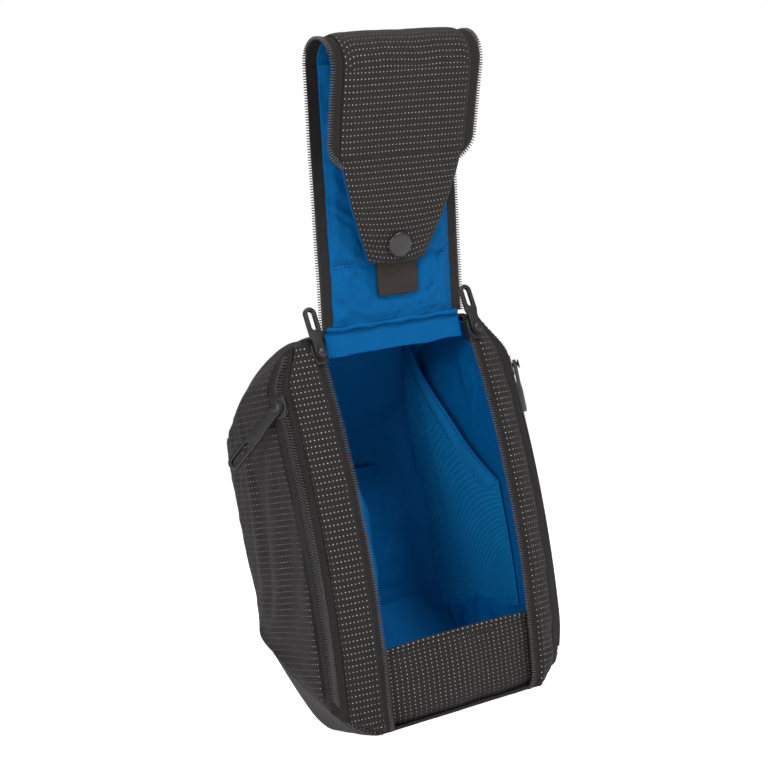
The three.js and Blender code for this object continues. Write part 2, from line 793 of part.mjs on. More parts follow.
// A pull: a flat bar with an eye at its pivot and an oval slot near its tip, lying in XZ with
// its pivot at the origin and its tip down.
function pullGeometry(length) {
  const half = pullWidth / 2;
  const shape = new THREE.Shape();
  shape.absarc(0, half - length, half, Math.PI, 0, false);
  shape.lineTo(half, 0);
  shape.absarc(0, 0, half, 0, Math.PI, false);
  shape.closePath();
  const eye = new THREE.Path();
  eye.absarc(0, 0, pullEye / 2, 0, Math.PI * 2, true);
  const slot = new THREE.Path();
  const slotHalf = pullSlotWidth / 2;
  const slotLow = half - length;
  const slotHigh = slotLow + pullSlotLength * (length / pocketPullLength);
  slot.absarc(0, slotHigh, slotHalf, 0, Math.PI, false);
  slot.absarc(0, slotLow, slotHalf, Math.PI, 0, false);
  shape.holes.push(eye, slot);
  const geometry = new THREE.ExtrudeGeometry(shape, {
    depth: pullThickness,
    bevelEnabled: false,
    curveSegments: 10,
  });
  geometry.rotateX(Math.PI / 2);
  geometry.translate(0, pullThickness / 2, 0);
  return geometry;
}

function toSolid(geometry) {
  const bare = geometry.clone();
  bare.deleteAttribute('normal');
  bare.deleteAttribute('uv');
  const merged = mergeVertices(bare, 1e-4);
  return new wasm.Manifold(new wasm.Mesh({
    numProp: 3,
    vertProperties: new Float32Array(merged.attributes.position.array),
    triVerts: new Uint32Array(merged.index.array),
  }));
}

function joined(first, second) {
  const mesh = toSolid(first).add(toSolid(second)).getMesh();
  return closedFrom(Array.from(mesh.vertProperties), Array.from(mesh.triVerts));
}

// A pull's post: a round shank with a wide head, standing out along -Y from a face.
function postGeometry(faceY) {
  const sunk = sliderPlate / 2;
  const shank = postRise + pullThickness + postRise;
  const post = new THREE.LatheGeometry([
    point2(0, -sunk),
    point2(postDiameter / 2, -sunk),
    point2(postDiameter / 2, shank),
    point2(postHeadDiameter / 2, shank),
    point2(postHeadDiameter / 2, shank + postHead),
    point2(0, shank + postHead),
  ], 20);
  post.rotateX(Math.PI);
  post.translate(0, faceY, 0);
  return post;
}

// The place of a rider on a track: turned to the track's slope at that height.
function riderAt(depth, z) {
  const rider = new THREE.Group();
  rider.position.set(0, yAt(depth, z), z);
  rider.rotation.x = -Math.asin((z - midHeight) / trackRadius(depth));
  bag.add(rider);
  return rider;
}

function extruded(points, length) {
  const body = new THREE.ExtrudeGeometry(new THREE.Shape(points), { depth: length, bevelEnabled: false });
  body.translate(0, 0, -length / 2);
  return body;
}

for (const [label, side] of [['left', -1], ['right', 1]]) {
  const mirrored = (points) => points.map((p) => point2(side * p.x, p.y));

  // Main slider: two plates round the teeth, joined along the mouth's edge.
  const innerX = mouthHalf - sliderPlay / 2;
  const wallX = chainInner - seamGap;
  const outerX = innerX + mainSliderWidth;
  const plateIn = chainThickness / 2 + sliderPlay;
  const plateOut = plateIn + sliderPlate;
  const mainRider = riderAt(0, mainSliderTop * bagLength - sliderLength / 2);
  const mainBody = extruded(mirrored([
    point2(innerX, -plateOut),
    point2(outerX, -plateOut),
    point2(outerX, -plateIn),
    point2(wallX, -plateIn),
    point2(wallX, plateIn),
    point2(outerX, plateIn),
    point2(outerX, plateOut),
    point2(innerX, plateOut),
  ]), sliderLength);
  const mainPostX = side * (innerX + mainSliderWidth / 2);
  const mainPost = postGeometry(-plateOut).translate(mainPostX, 0, 0);
  addMesh(`main_slider_${label}`, joined(mainBody, mainPost), darkMetal, mainRider);
  const mainPull = addMesh(`main_pull_${label}`, pullGeometry(mainPullLength), mouldedPull, mainRider);
  mainPull.position.set(mainPostX, -plateOut - postRise - pullThickness / 2, 0);
  mainPull.rotation.y = Math.PI;

  // Pocket slider: a saddle over the coil, square to the tape.
  const pocketZ = pocketSliderTop * bagLength - sliderLength / 2;
  const pocketRider = riderAt(pocketSetback, pocketZ);
  const saddle = new THREE.Group();
  saddle.position.x = side * pocketTrackHalf;
  const tangent = flankOutline.getTangent(tapeMiddle);
  saddle.rotation.z = side * Math.atan2(tangent.y, tangent.x);
  pocketRider.add(saddle);
  const roof = seamGap + coilHeight + sliderPlay;
  const coilSide = coilWidth / 2 + sliderPlay;
  const saddleHalf = pocketSliderWidth / 2;
  const foot = 3 * sliderPlay;
  const saddleBody = extruded([
    point2(-saddleHalf, -foot),
    point2(-saddleHalf, -roof - sliderPlate),
    point2(saddleHalf, -roof - sliderPlate),
    point2(saddleHalf, -foot),
    point2(coilSide, -foot),
    point2(coilSide, -roof),
    point2(-coilSide, -roof),
    point2(-coilSide, -foot),
  ], sliderLength);
  const pocketPost = postGeometry(-roof - sliderPlate);
  addMesh(`pocket_slider_${label}`, joined(saddleBody, pocketPost), darkMetal, saddle);
  const pocketPull = addMesh(`pocket_pull_${label}`, pullGeometry(pocketPullLength), mouldedPull, saddle);
  pocketPull.position.set(0, -roof - sliderPlate - postRise - pullThickness / 2, 0);
  pocketPull.rotation.y = -side * pocketPullAngle * degree;
}

export default bag;
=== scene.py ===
"""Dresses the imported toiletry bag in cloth, linings, zippers, mesh, webbing and its snap.

The bag stands on its flat bottom end, its mouth faces -Y, and lengths are in metres.
"""
import math

import bmesh
import bpy
import numpy as np
from mathutils import Matrix, Vector, noise


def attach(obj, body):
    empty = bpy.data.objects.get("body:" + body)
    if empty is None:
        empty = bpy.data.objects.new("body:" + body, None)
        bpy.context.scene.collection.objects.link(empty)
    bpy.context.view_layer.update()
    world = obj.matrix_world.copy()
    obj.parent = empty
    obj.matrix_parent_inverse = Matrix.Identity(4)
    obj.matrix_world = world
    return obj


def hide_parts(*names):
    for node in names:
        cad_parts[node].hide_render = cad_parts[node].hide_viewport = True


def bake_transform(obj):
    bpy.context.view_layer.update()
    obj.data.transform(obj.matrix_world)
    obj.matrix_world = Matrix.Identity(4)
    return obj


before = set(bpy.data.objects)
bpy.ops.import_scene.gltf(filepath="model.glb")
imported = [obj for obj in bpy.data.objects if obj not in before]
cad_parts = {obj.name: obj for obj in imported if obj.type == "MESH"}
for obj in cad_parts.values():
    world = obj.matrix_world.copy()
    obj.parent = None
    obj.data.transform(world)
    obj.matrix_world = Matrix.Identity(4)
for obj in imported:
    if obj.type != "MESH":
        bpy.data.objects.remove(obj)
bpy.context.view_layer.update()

MM = 0.001
SIDES = (("left", -1), ("right", 1))

# ---------------------------------------------------------------- the bag's sizes
BAG_LENGTH = 226 * MM
BAG_DEPTH = 102 * MM
OVERALL_HALF = 82 * MM
MOUTH_HALF = 49 * MM
MOUTH_BOW = 13 * MM
TOP_FLAT_DEPTH = 66 * MM
TOP_SHOULDER_DROP = 58 * MM
BASE_FLAT_DEPTH = 62 * MM
BASE_SHOULDER_RISE = 60 * MM
POCKET_TRACK_HALF = OVERALL_HALF - 4.5 * MM
POCKET_SETBACK = 11 * MM
SEAM_GAP = 0.3 * MM
SHELL_CLOTH = 1.6 * MM
LINING_CLOTH = 0.8 * MM
FLAP_CLOTH = 1.2 * MM
TAPE_THICKNESS = 0.9 * MM
CHAIN_INNER = MOUTH_HALF + 0.6 * MM
TAPE_OUTER = CHAIN_INNER + 1.2 * MM + 8 * MM
POCKET_TAPE_WIDTH = 13 * MM
TOOTH_PITCH = 1.45 * MM
RIDGE_ROUND = 14 * MM

# The flap, measured along its middle from the hinge.
HINGE = Vector((0, -2.6 * MM - BASE_FLAT_DEPTH / 2, BAG_LENGTH + 1.3 * MM))
HINGE_CORD = 3.2 * MM
FLAP_LEAN = math.radians(14.4)
FOLD_START = 146 * MM
FOLD_RADIUS = 14.5 * MM
UPPER_RUN = 40.6 * MM
END_RUN = 13.4 * MM
TONGUE_RUN = 57 * MM
SNAP_STANDOFF = 6.4 * MM
SNAP_FROM_TIP = 11 * MM
FLAP_CHAIN_OUTER = MOUTH_HALF - 0.6 * MM
FLAP_CLOTH_HALF = MOUTH_HALF - 9 * MM
TONGUE_ROOT_HALF = FLAP_CLOTH_HALF - 2 * MM
TONGUE_TIP_HALF = 17 * MM

# Inside.
LINING_HALF = MOUTH_HALF + 5.6 * MM
LINING_DROP = SHELL_CLOTH + 2 * SEAM_GAP
FRONT_PANEL_HEIGHT = 46 * MM
MESH_FRONT = 12 * MM
MESH_REAR = BAG_DEPTH - 12 * MM
MESH_EDGE_LOW = 112 * MM
MESH_EDGE_HIGH = 216 * MM
MESH_EDGE_REACH = 58 * MM
MESH_BOTTOM = 49 * MM
MESH_STANDOFF = 9 * MM
STRAP_WIDTH = 25 * MM


# ---------------------------------------------------------------- small helpers
def smoothstep(x, low, high):
    t = min(max((x - low) / (high - low), 0), 1)
    return t * t * (3 - 2 * t)


def placed(name, data):
    """A new object in the scene."""
    made = bpy.data.objects.new(name, data)
    bpy.context.scene.collection.objects.link(made)
    return made


def soft_min(a, b, reach):
    """The lesser of two heights, rounded where they cross."""
    h = min(max(0.5 + 0.5 * (b - a) / reach, 0), 1)
    return b * (1 - h) + a * h - reach * h * (1 - h)


def spline(points, share):
    """A place on the smooth curve through points."""
    spans = len(points) - 1
    place = min(max(share, 0), 1) * spans
    i = min(int(place), spans - 1)
    t = place - i
    before, a = points[max(i - 1, 0)], points[i]
    b, after = points[i + 1], points[min(i + 2, spans)]
    slope_a = (b - before) * 0.5
    slope_b = (after - a) * 0.5
    cubed = (a - b) * 2 + slope_a + slope_b
    squared = (b - a) * 3 - slope_a * 2 - slope_b
    return cubed * t**3 + squared * t**2 + slope_a * t + a


# ---------------------------------------------------------------- the bag's form
def bow_at(z):
    away = (z - BAG_LENGTH / 2) / (BAG_LENGTH / 2)
    return MOUTH_BOW * (1 - away * away)


def y_at(depth, z):
    """Depth is measured back from the mouth, which bows forward."""
    return depth - bow_at(z) * (1 - depth / BAG_DEPTH) - BASE_FLAT_DEPTH / 2


def top_at(depth, inside=0.0):
    slope = TOP_SHOULDER_DROP / (BAG_DEPTH - TOP_FLAT_DEPTH)
    sloping = BAG_LENGTH - slope * (depth - TOP_FLAT_DEPTH) - inside * math.hypot(1, slope)
    return soft_min(BAG_LENGTH - inside, sloping, RIDGE_ROUND)


def base_at(depth, inside=0.0):
    slope = BASE_SHOULDER_RISE / (BAG_DEPTH - BASE_FLAT_DEPTH)
    sloping = slope * (depth - BASE_FLAT_DEPTH) + inside * math.hypot(1, slope)
    return -soft_min(-inside, -sloping, RIDGE_ROUND)


# Where the end panels' corners start to turn, out from the middle, and their room in the seams.
CORNER_START = 57.5 * MM
TOP_CORNER_START = 34 * MM
END_MARGIN = 0.9 * MM
# How fast the corners climb towards the back, and how the bottom ones start and level out.
CORNER_CLIMB = 0.55
TOP_CORNER_FALL = 0.58
CORNER_STEP, CORNER_STEP_DEPTH = 12 * MM, 6 * MM
CORNER_TOP, CORNER_ROUND, TOP_CORNER_ROUND = 62 * MM, 16 * MM, 10 * MM


def flank_low(depth):
    """The flanks' lower edge climbs from the mouth to the back."""
    back = max(0.0, depth)
    low = CORNER_STEP * (1 - math.exp(-back / CORNER_STEP_DEPTH)) + CORNER_CLIMB * back
    return max(base_at(depth), soft_min(low, CORNER_TOP, CORNER_ROUND))


def flank_high(depth):
    """The top end's corners turn down in the same way."""
    falling = BAG_LENGTH + 1 * MM - TOP_CORNER_FALL * depth
    return soft_min(top_at(depth), falling, TOP_CORNER_ROUND)


def turned_height(height_at, edge_at, start, x, depth, half):
    """An end panel's height: flat across its middle, turned to meet the flanks at both sides."""
    share = min(1.0, max(0.0, (abs(x) - start) / max(half - start, 1 * MM)))
    return height_at(depth) + (edge_at(depth) - height_at(depth)) * share**1.6


def turned_panel(height_at, edge_at, start, front, rear):
    def face(u, v):
        depth = front + (rear - front) * v
        edge = edge_at(depth)
        half = half_width_at(depth, edge) - END_MARGIN
        x = (2 * u - 1) * half
        z = turned_height(height_at, edge_at, start, x, depth, half)
        if x > 0:
            x -= foot_pull(1, edge, depth) * x / half
        return Vector((x, y_at(depth, z), z))

    return face


# The lining starts to draw in this much deeper than the cloth outside it.
LINING_PULL_SETBACK = 6 * MM


def foot_curve(amount, reach, z):
    """amount at the floor, easing to nothing at the height reach."""
    return amount * max(0.0, 1 - z / reach) ** 2


def foot_pull(side, z, depth):
    """The photo's right foot is drawn in, but less beside its zipper, where the slider runs down."""
    if side < 0:
        return foot_curve(1.6 * MM, 16 * MM, z)
    zipper = foot_curve(1.8 * MM, 13 * MM, z)
    flank = foot_curve(9 * MM, 40 * MM, z)
    back = smoothstep(depth, TAPE_THICKNESS / 2, POCKET_SETBACK - TAPE_DROP)
    return zipper + (flank - zipper) * back


def swell_at(z):
    share = z / BAG_LENGTH
    return 1 - 0.7 * smoothstep(share, 0.87, 1) - 0.2 * (1 - smoothstep(share, 0, 0.05))


FACE_WIDTH_SHARES = (1, 0.985, 0.93, 0.83, 0.7)
FACE_DEPTH_SHARES = (0.45, 0.66, 0.84, 0.945, 0.99)
TAPE_SLANT = 0.55
TAPE_DROP = POCKET_TAPE_WIDTH * math.sqrt(1 - TAPE_SLANT**2) / 2
FLANK_OUTLINE = [
    Vector((TAPE_OUTER + SEAM_GAP, TAPE_THICKNESS / 2)),
    Vector((POCKET_TRACK_HALF - POCKET_TAPE_WIDTH * TAPE_SLANT / 2, POCKET_SETBACK - TAPE_DROP)),
    Vector((POCKET_TRACK_HALF, POCKET_SETBACK)),
    Vector((POCKET_TRACK_HALF + POCKET_TAPE_WIDTH * TAPE_SLANT / 2, POCKET_SETBACK + TAPE_DROP)),
] + [
    Vector((OVERALL_HALF * width, BAG_DEPTH * depth))
    for width, depth in zip(FACE_WIDTH_SHARES, FACE_DEPTH_SHARES)
]
BAND_END, TAPE_MIDDLE, TAPE_END = 1 / 8, 2 / 8, 3 / 8
RIGHT_BAND_END = 0.72 * BAND_END


def outline_tangent(share):
    step = 1e-3
    return spline(FLANK_OUTLINE, share + step) - spline(FLANK_OUTLINE, share - step)


def flank_point(side, share, rise, lift=0.0):
    """A place on the bag's side: share runs from the mouth round to the back."""
    at = spline(FLANK_OUTLINE, share)
    if lift:
        tangent = outline_tangent(share).normalized()
        at = at + Vector((tangent.y, -tangent.x)) * lift
    low = flank_low(at.y) + SEAM_GAP
    high = flank_high(at.y) - SEAM_GAP
    z = low + (high - low) * rise
    width = at.x
    if width > TAPE_OUTER:
        width = TAPE_OUTER + (width - TAPE_OUTER) * swell_at(z)
    return Vector((side * (width - foot_pull(side, z, at.y)), y_at(at.y, z), z))


def half_width_at(depth, z):
    """Half the width between the bag's sides at a depth and height."""
    low, high = 0.0, 1.0
    for _ in range(20):
        middle = (low + high) / 2
        if spline(FLANK_OUTLINE, middle).y < depth:
            low = middle
        else:
            high = middle
    width = spline(FLANK_OUTLINE, low).x
    return TAPE_OUTER + max(0.0, width - TAPE_OUTER) * swell_at(z)


def solve_fold_turn():
    """How far past half a turn the fold goes, so that the tongue meets the snap."""
    hanging = UPPER_RUN + END_RUN + TONGUE_RUN
    low, high = 0.0, math.pi / 4
    for _ in range(40):
        middle = (low + high) / 2
        if hanging * math.sin(middle) + SNAP_STANDOFF < FOLD_RADIUS * (1 + math.cos(middle)):
            low = middle
        else:
            high = middle
    return low


FOLD_TURN = math.pi + solve_fold_turn()
FOLD_END = FOLD_START + FOLD_RADIUS * FOLD_TURN
WRAP_AT = FOLD_END + UPPER_RUN
ROOT_AT = WRAP_AT + END_RUN
TIP_AT = ROOT_AT + TONGUE_RUN
SNAP_RUN = TIP_AT - SNAP_FROM_TIP


def flap_line(run):
    """The flap's middle line before it leans: its place, and which way its outer face looks."""
    if run <= FOLD_START:
        return 0.0, run, 1.0, 0.0
    turn = min(FOLD_TURN, (run - FOLD_START) / FOLD_RADIUS)
    out_y, out_z = math.cos(turn), math.sin(turn)
    past = max(0.0, run - FOLD_END)
    y = -FOLD_RADIUS + FOLD_RADIUS * out_y - out_z * past
    z = FOLD_START + FOLD_RADIUS * out_z + out_y * past
    return y, z, out_y, out_z


LEAN = Matrix.Rotation(FLAP_LEAN, 3, "X")


def flap_point(x, run, lift=0.0):
    y, z, out_y, out_z = flap_line(run)
    return HINGE + LEAN @ Vector((x, y + out_y * lift, z + out_z * lift))


def flap_out(run):
    _, _, out_y, out_z = flap_line(run)
    return LEAN @ Vector((0, out_y, out_z))


# ---------------------------------------------------------------- shader helpers
class Graph:
    """Adds nodes to a node tree and wires them, one call a node."""

    def __init__(self, tree):
        self.tree = tree

    def node(self, kind, inputs=None, **settings):
        made = self.tree.nodes.new(kind)
        for key, value in settings.items():
            setattr(made, key, value)
        for key, value in (inputs or {}).items():
            socket = made.inputs[key]
            if isinstance(value, bpy.types.NodeSocket):
                self.tree.links.new(value, socket)
            else:
                socket.default_value = value
        return made

    def math(self, operation, a, b=0.0, c=0.0):
        return self.node("ShaderNodeMath", {0: a, 1: b, 2: c}, operation=operation).outputs[0]

    def noise(self, vector, scale, detail=3.0, roughness=0.5):
        inputs = {"Vector": vector, "Scale": scale, "Detail": detail, "Roughness": roughness}
        return self.node("ShaderNodeTexNoise", inputs).outputs["Fac"]

    def mix(self, factor, a, b, blend="MIX"):
        inputs = {0: factor, 6: a, 7: b}
        return self.node("ShaderNodeMix", inputs, data_type="RGBA", blend_type=blend).outputs[2]

    def stretch(self, value, low, high, new_low, new_high):
        inputs = {0: value, 1: low, 2: high, 3: new_low, 4: new_high}
        return self.node("ShaderNodeMapRange", inputs).outputs[0]


def cleared_graph(owner):
    """The emptied node graph of a material or world."""
    owner.use_nodes = True
    owner.node_tree.nodes.clear()
    return Graph(owner.node_tree)


def new_group(name, inputs, outputs):
    """A shader node group with named sockets; returns the group and its graph."""
    tree = bpy.data.node_groups.new(name, "ShaderNodeTree")
    for socket, kind, value in inputs:
        made = tree.interface.new_socket(socket, in_out="INPUT", socket_type=kind)
        if value is not None:
            made.default_value = value
    for socket, kind in outputs:
        tree.interface.new_socket(socket, in_out="OUTPUT", socket_type=kind)
    graph = Graph(tree)
    return tree, graph, graph.node("NodeGroupInput").outputs, graph.node("NodeGroupOutput").inputs


def plain_weave_group():
    """Threads that pass over and under each other, as a height from 0 to 1."""
    tree, g, given, result = new_group(
        "plain_weave",
        [("Cloth", "NodeSocketVector", None), ("Threads Per Metre", "NodeSocketFloat", 2000.0)],
        [("Height", "NodeSocketFloat")],
    )
    split = g.node("ShaderNodeSeparateXYZ", {0: given["Cloth"]}).outputs
    waves = []
    for axis in (0, 1):
        turns = g.math("MULTIPLY", split[axis], given["Threads Per Metre"])
        waves.append(g.math("SINE", g.math("MULTIPLY", turns, math.pi)))
    over = g.math("GREATER_THAN", g.math("MULTIPLY", waves[0], waves[1]), 0.0)
    warp = g.math("ABSOLUTE", waves[0])
    weft = g.math("ABSOLUTE", waves[1])
    difference = g.math("SUBTRACT", warp, weft)
    height = g.math("MULTIPLY_ADD", difference, over, weft)
    tree.links.new(height, result["Height"])
    return tree


def dot_rows_group():
    """Round dots in straight rows, as a mask."""
    tree, g, given, result = new_group(
        "dot_rows",
        [
            ("Cloth", "NodeSocketVector", None),
            ("Dot Pitch", "NodeSocketFloat", 2.3 * MM),
            ("Row Pitch", "NodeSocketFloat", 3.4 * MM),
            ("Dot Radius", "NodeSocketFloat", 0.34 * MM),
        ],
        [("Mask", "NodeSocketFloat")],
    )
    split = g.node("ShaderNodeSeparateXYZ", {0: given["Cloth"]}).outputs
    offsets = []
    for axis, pitch in ((0, "Dot Pitch"), (1, "Row Pitch")):
        place = g.math("FRACT", g.math("DIVIDE", split[axis], given[pitch]))
        offsets.append(g.math("MULTIPLY", g.math("SUBTRACT", place, 0.5), given[pitch]))
    squares = g.math("MULTIPLY_ADD", offsets[1], offsets[1], g.math("MULTIPLY", offsets[0], offsets[0]))
    distance = g.math("SQRT", squares)
    edge = g.math("DIVIDE", distance, given["Dot Radius"])
    mask = g.stretch(edge, 0.75, 1.1, 1.0, 0.0)
    tree.links.new(mask, result["Mask"])
    return tree


def ribs_group():
    """Round ribs across a ribbon, as a height from 0 to 1."""
    tree, g, given, result = new_group(
        "ribs",
        [("Cloth", "NodeSocketVector", None), ("Rib Pitch", "NodeSocketFloat", 1 * MM)],
        [("Height", "NodeSocketFloat")],
    )
    split = g.node("ShaderNodeSeparateXYZ", {0: given["Cloth"]}).outputs
    turns = g.math("DIVIDE", split[1], given["Rib Pitch"])
    height = g.math("ABSOLUTE", g.math("SINE", g.math("MULTIPLY", turns, math.pi)))
    tree.links.new(height, result["Height"])
    return tree


def handling_group():
    """Uneven tone from handling and dust: a factor about 1, and a fine fuzz height."""
    tree, g, given, result = new_group(
        "handling",
        [("Place", "NodeSocketVector", None), ("Amount", "NodeSocketFloat", 0.1)],
        [("Tone", "NodeSocketFloat"), ("Fuzz", "NodeSocketFloat")],
    )
    broad = g.noise(given["Place"], 38.0, 4.0, 0.6)
    fuzz = g.noise(given["Place"], 2600.0, 2.0)
    both = g.math("ADD", g.math("MULTIPLY", broad, 0.7), g.math("MULTIPLY", fuzz, 0.3))
    swing = g.math("MULTIPLY", g.math("SUBTRACT", both, 0.5), given["Amount"])
    tone = g.math("MULTIPLY_ADD", swing, 4.0, 1.0)
    tree.links.new(tone, result["Tone"])
    tree.links.new(fuzz, result["Fuzz"])
    return tree


weave = plain_weave_group()
dot_rows = dot_rows_group()
ribs = ribs_group()
handling = handling_group()


def new_material(name, roughness, **settings):
    """A material with its principled shader, its graph, and its two coordinate sets."""
    material = bpy.data.materials.new(name)
    g = cleared_graph(material)
    shader = g.node("ShaderNodeBsdfPrincipled", {"Roughness": roughness})
    for key, value in settings.items():
        shader.inputs[key.replace("_", " ")].default_value = value
    g.node("ShaderNodeOutputMaterial", {"Surface": shader.outputs[0]})
    cloth = g.node("ShaderNodeUVMap", uv_map="cloth").outputs[0]
    place = g.node("ShaderNodeTexCoord").outputs["Object"]
    return material, g, shader, cloth, place


def tinted(g, colour, tone):
    """colour times an uneven tone."""
    grey = g.node("ShaderNodeCombineColor", {0: tone, 1: tone, 2: tone}).outputs[0]
    return g.mix(1.0, (*colour, 1), grey, "MULTIPLY")


def raise_surface(g, shader, height, distance):
    bump = g.node(
        "ShaderNodeBump", {"Height": height, "Distance": distance, "Strength": 1.0}
    )
    g.tree.links.new(bump.outputs[0], shader.inputs["Normal"])


def handled(g, place, amount):
    """The handling group's tone and fuzz."""
    return g.node("ShaderNodeGroup", {"Place": place, "Amount": amount}, node_tree=handling).outputs


def woven_material(name, colour, threads, amount, depth, roughness, rib_pitch=0.0, **settings):
    """Plain woven or ribbed cloth in one colour, with painted shade in its weave's hollows."""
    material, g, shader, cloth, place = new_material(name, roughness, **settings)
    worn = handled(g, place, amount)
    if rib_pitch:
        tree, inputs = ribs, {"Cloth": cloth, "Rib Pitch": rib_pitch}
    else:
        tree, inputs = weave, {"Cloth": cloth, "Threads Per Metre": threads}
    grain = g.node("ShaderNodeGroup", inputs, node_tree=tree).outputs[0]
    height = g.math("MULTIPLY_ADD", worn["Fuzz"], 0.35, grain)
    # Painted shade: the colour darkens where the weave or ribs sink low, times the random handled tone.
    tone_and_weave_shade = g.math("MULTIPLY", worn["Tone"], g.stretch(grain, 0.0, 1.0, 0.72, 1.12))
    g.tree.links.new(tinted(g, colour, tone_and_weave_shade), shader.inputs["Base Color"])
    raise_surface(g, shader, height, depth)
    return material


def dotted_material():
    """Charcoal cloth woven with rows of small pale reflective dots, whose colour carries a painted
    reflection.
    """
    material, g, shader, cloth, place = new_material(
        "dotted_cloth", 0.8, Sheen_Weight=0.06, Sheen_Roughness=0.45, Specular_IOR_Level=0.28
    )
    worn = handled(g, place, 0.12)
    inputs = {"Cloth": cloth, "Threads Per Metre": 1400.0}
    threads = g.node("ShaderNodeGroup", inputs, node_tree=weave).outputs[0]
    dots = g.node("ShaderNodeGroup", {"Cloth": cloth}, node_tree=dot_rows).outputs[0]
    # Painted shade: the colour darkens in the weave's hollows, times the random handled tone.
    tone_and_weave_shade = g.math("MULTIPLY", worn["Tone"], g.stretch(threads, 0.0, 1.0, 0.6, 1.25))
    ground = tinted(g, (0.0195, 0.0165, 0.0165), tone_and_weave_shade)
    # Painted reflection: the dots' colour is brighter where they face the camera, dims at grazing
    # angles, and has random painted glints.
    glint = g.noise(place, 900.0, 1.0)
    grazing_for_painted_reflection = g.node("ShaderNodeLayerWeight", {"Blend": 0.5}).outputs["Facing"]
    sparkle = g.stretch(glint, 0.3, 0.7, 0.5, 1.25)
    painted_dot_reflection = g.math("MULTIPLY", sparkle, g.stretch(grazing_for_painted_reflection, 0.15, 0.62, 1.1, 0.14))
    pale = tinted(g, (0.60, 0.58, 0.56), painted_dot_reflection)
    g.tree.links.new(g.mix(dots, ground, pale), shader.inputs["Base Color"])
    g.tree.links.new(g.stretch(dots, 0.0, 1.0, 0.8, 0.4), shader.inputs["Roughness"])
    height = g.math("MULTIPLY_ADD", dots, 0.6, threads)
    raise_surface(g, shader, height, 0.12 * MM)
    return material


def hard_material(name, colour, roughness, grain_scale, metallic=0.0):
    """Moulded plastic or painted metal: fine grain, with uneven tone."""
    material, g, shader, _, place = new_material(name, roughness, Metallic=metallic)
    tone = handled(g, place, 0.16)["Tone"]
    g.tree.links.new(tinted(g, colour, tone), shader.inputs["Base Color"])
    grain = g.noise(place, grain_scale, 3.0, 0.6)
    rough = g.stretch(grain, 0.3, 0.7, roughness - 0.08, roughness + 0.1)
    g.tree.links.new(rough, shader.inputs["Roughness"])
    raise_surface(g, shader, grain, 0.03 * MM)
    return material


MATERIALS = {
    "dotted_cloth": dotted_material(),
    "dark_tape": woven_material(
        "dark_tape", (0.016, 0.013, 0.013), 2200.0, 0.1, 0.08 * MM, 0.75, Specular_IOR_Level=0.3
    ),
    "zipper_teeth": hard_material("zipper_teeth", (0.068, 0.059, 0.055), 0.26, 1500.0),
    "coil_loops": hard_material("coil_loops", (0.042, 0.040, 0.040), 0.34, 1500.0),
    "blue_lining": woven_material(
        "blue_lining", (0.0005, 0.122, 0.360), 3200.0, 0.05, 0.05 * MM, 0.5, Specular_IOR_Level=0.08
    ),
    "blue_mesh": woven_material(
        "blue_mesh", (0.003, 0.200, 0.500), 2600.0, 0.06, 0.06 * MM, 0.7, Specular_IOR_Level=0.12
    ),
    "blue_ribs": woven_material(
        "blue_ribs", (0.002, 0.165, 0.420), 0.0, 0.06, 0.2 * MM, 0.65, rib_pitch=1.1 * MM,
        Specular_IOR_Level=0.12,
    ),
    "webbing": woven_material(
        "webbing", (0.036, 0.029, 0.025), 0.0, 0.1, 0.25 * MM, 0.75, rib_pitch=1.15 * MM,
        Specular_IOR_Level=0.3,
    ),
    "dark_metal": hard_material("dark_metal", (0.045, 0.043, 0.043), 0.38, 2500.0, 0.6),
    "moulded_pull": hard_material("moulded_pull", (0.014, 0.013, 0.013), 0.42, 1800.0),
    "dark_thread": woven_material("dark_thread", (0.020, 0.018, 0.017), 4000.0, 0.1, 0.04 * MM, 0.6),
    "blue_thread": woven_material("blue_thread", (0.004, 0.230, 0.560), 4000.0, 0.1, 0.04 * MM, 0.6),
}


# ---------------------------------------------------------------- mesh helpers
class Shape:
    """Gathers points, faces and cloth coordinates, then becomes a piece on a body."""

    def __init__(self):
        self.points, self.faces, self.corners = [], [], []

    def add(self, points, faces, corners):
        start = len(self.points)
        self.points.extend(points)
        self.faces.extend([tuple(start + i for i in face) for face in faces])
        self.corners.extend(corners)

    def sweep(self, rings):
        """Joins rings of equal count in order and closes both ends."""
        count = len(rings[0])
        points = [p for ring in rings for p in ring]
        girth = sum((rings[0][i] - rings[0][i - 1]).length for i in range(count))
        faces, corners = [], []
        run = 0.0
        for k in range(len(rings) - 1):
            step = (rings[k + 1][0] - rings[k][0]).length
            for i in range(count):
                j = (i + 1) % count
                faces.append((k * count + i, k * count + j, (k + 1) * count + j, (k + 1) * count + i))
                left, right = girth * i / count, girth * (i + 1) / count
                corners.append(((left, run), (right, run), (right, run + step), (left, run + step)))
            run += step
        faces.append(tuple(reversed(range(count))))
        corners.append(tuple((0.0, 0.0) for _ in range(count)))
        last = (len(rings) - 1) * count
        faces.append(tuple(last + i for i in range(count)))
        corners.append(tuple((0.0, run) for _ in range(count)))
        self.add(points, faces, corners)

    def piece(self, name, body, material, replaces=()):
        if name in bpy.data.objects:
            name += "_sewn"
        mesh = bpy.data.meshes.new(name)
        mesh.from_pydata([tuple(p) for p in self.points], [], self.faces)
        layer = mesh.uv_layers.new(name="cloth")
        layer.data.foreach_set("uv", [v for face in self.corners for uv in face for v in uv])
        mesh.polygons.foreach_set("use_smooth", [True] * len(mesh.polygons))
        mesh.materials.append(MATERIALS[material])
        mesh.update()
        made = placed(name, mesh)
        turn_outward(made)
        if isinstance(body, str):
            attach(made, body)
        else:
            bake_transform(made)
        if replaces:
            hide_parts(*replaces)


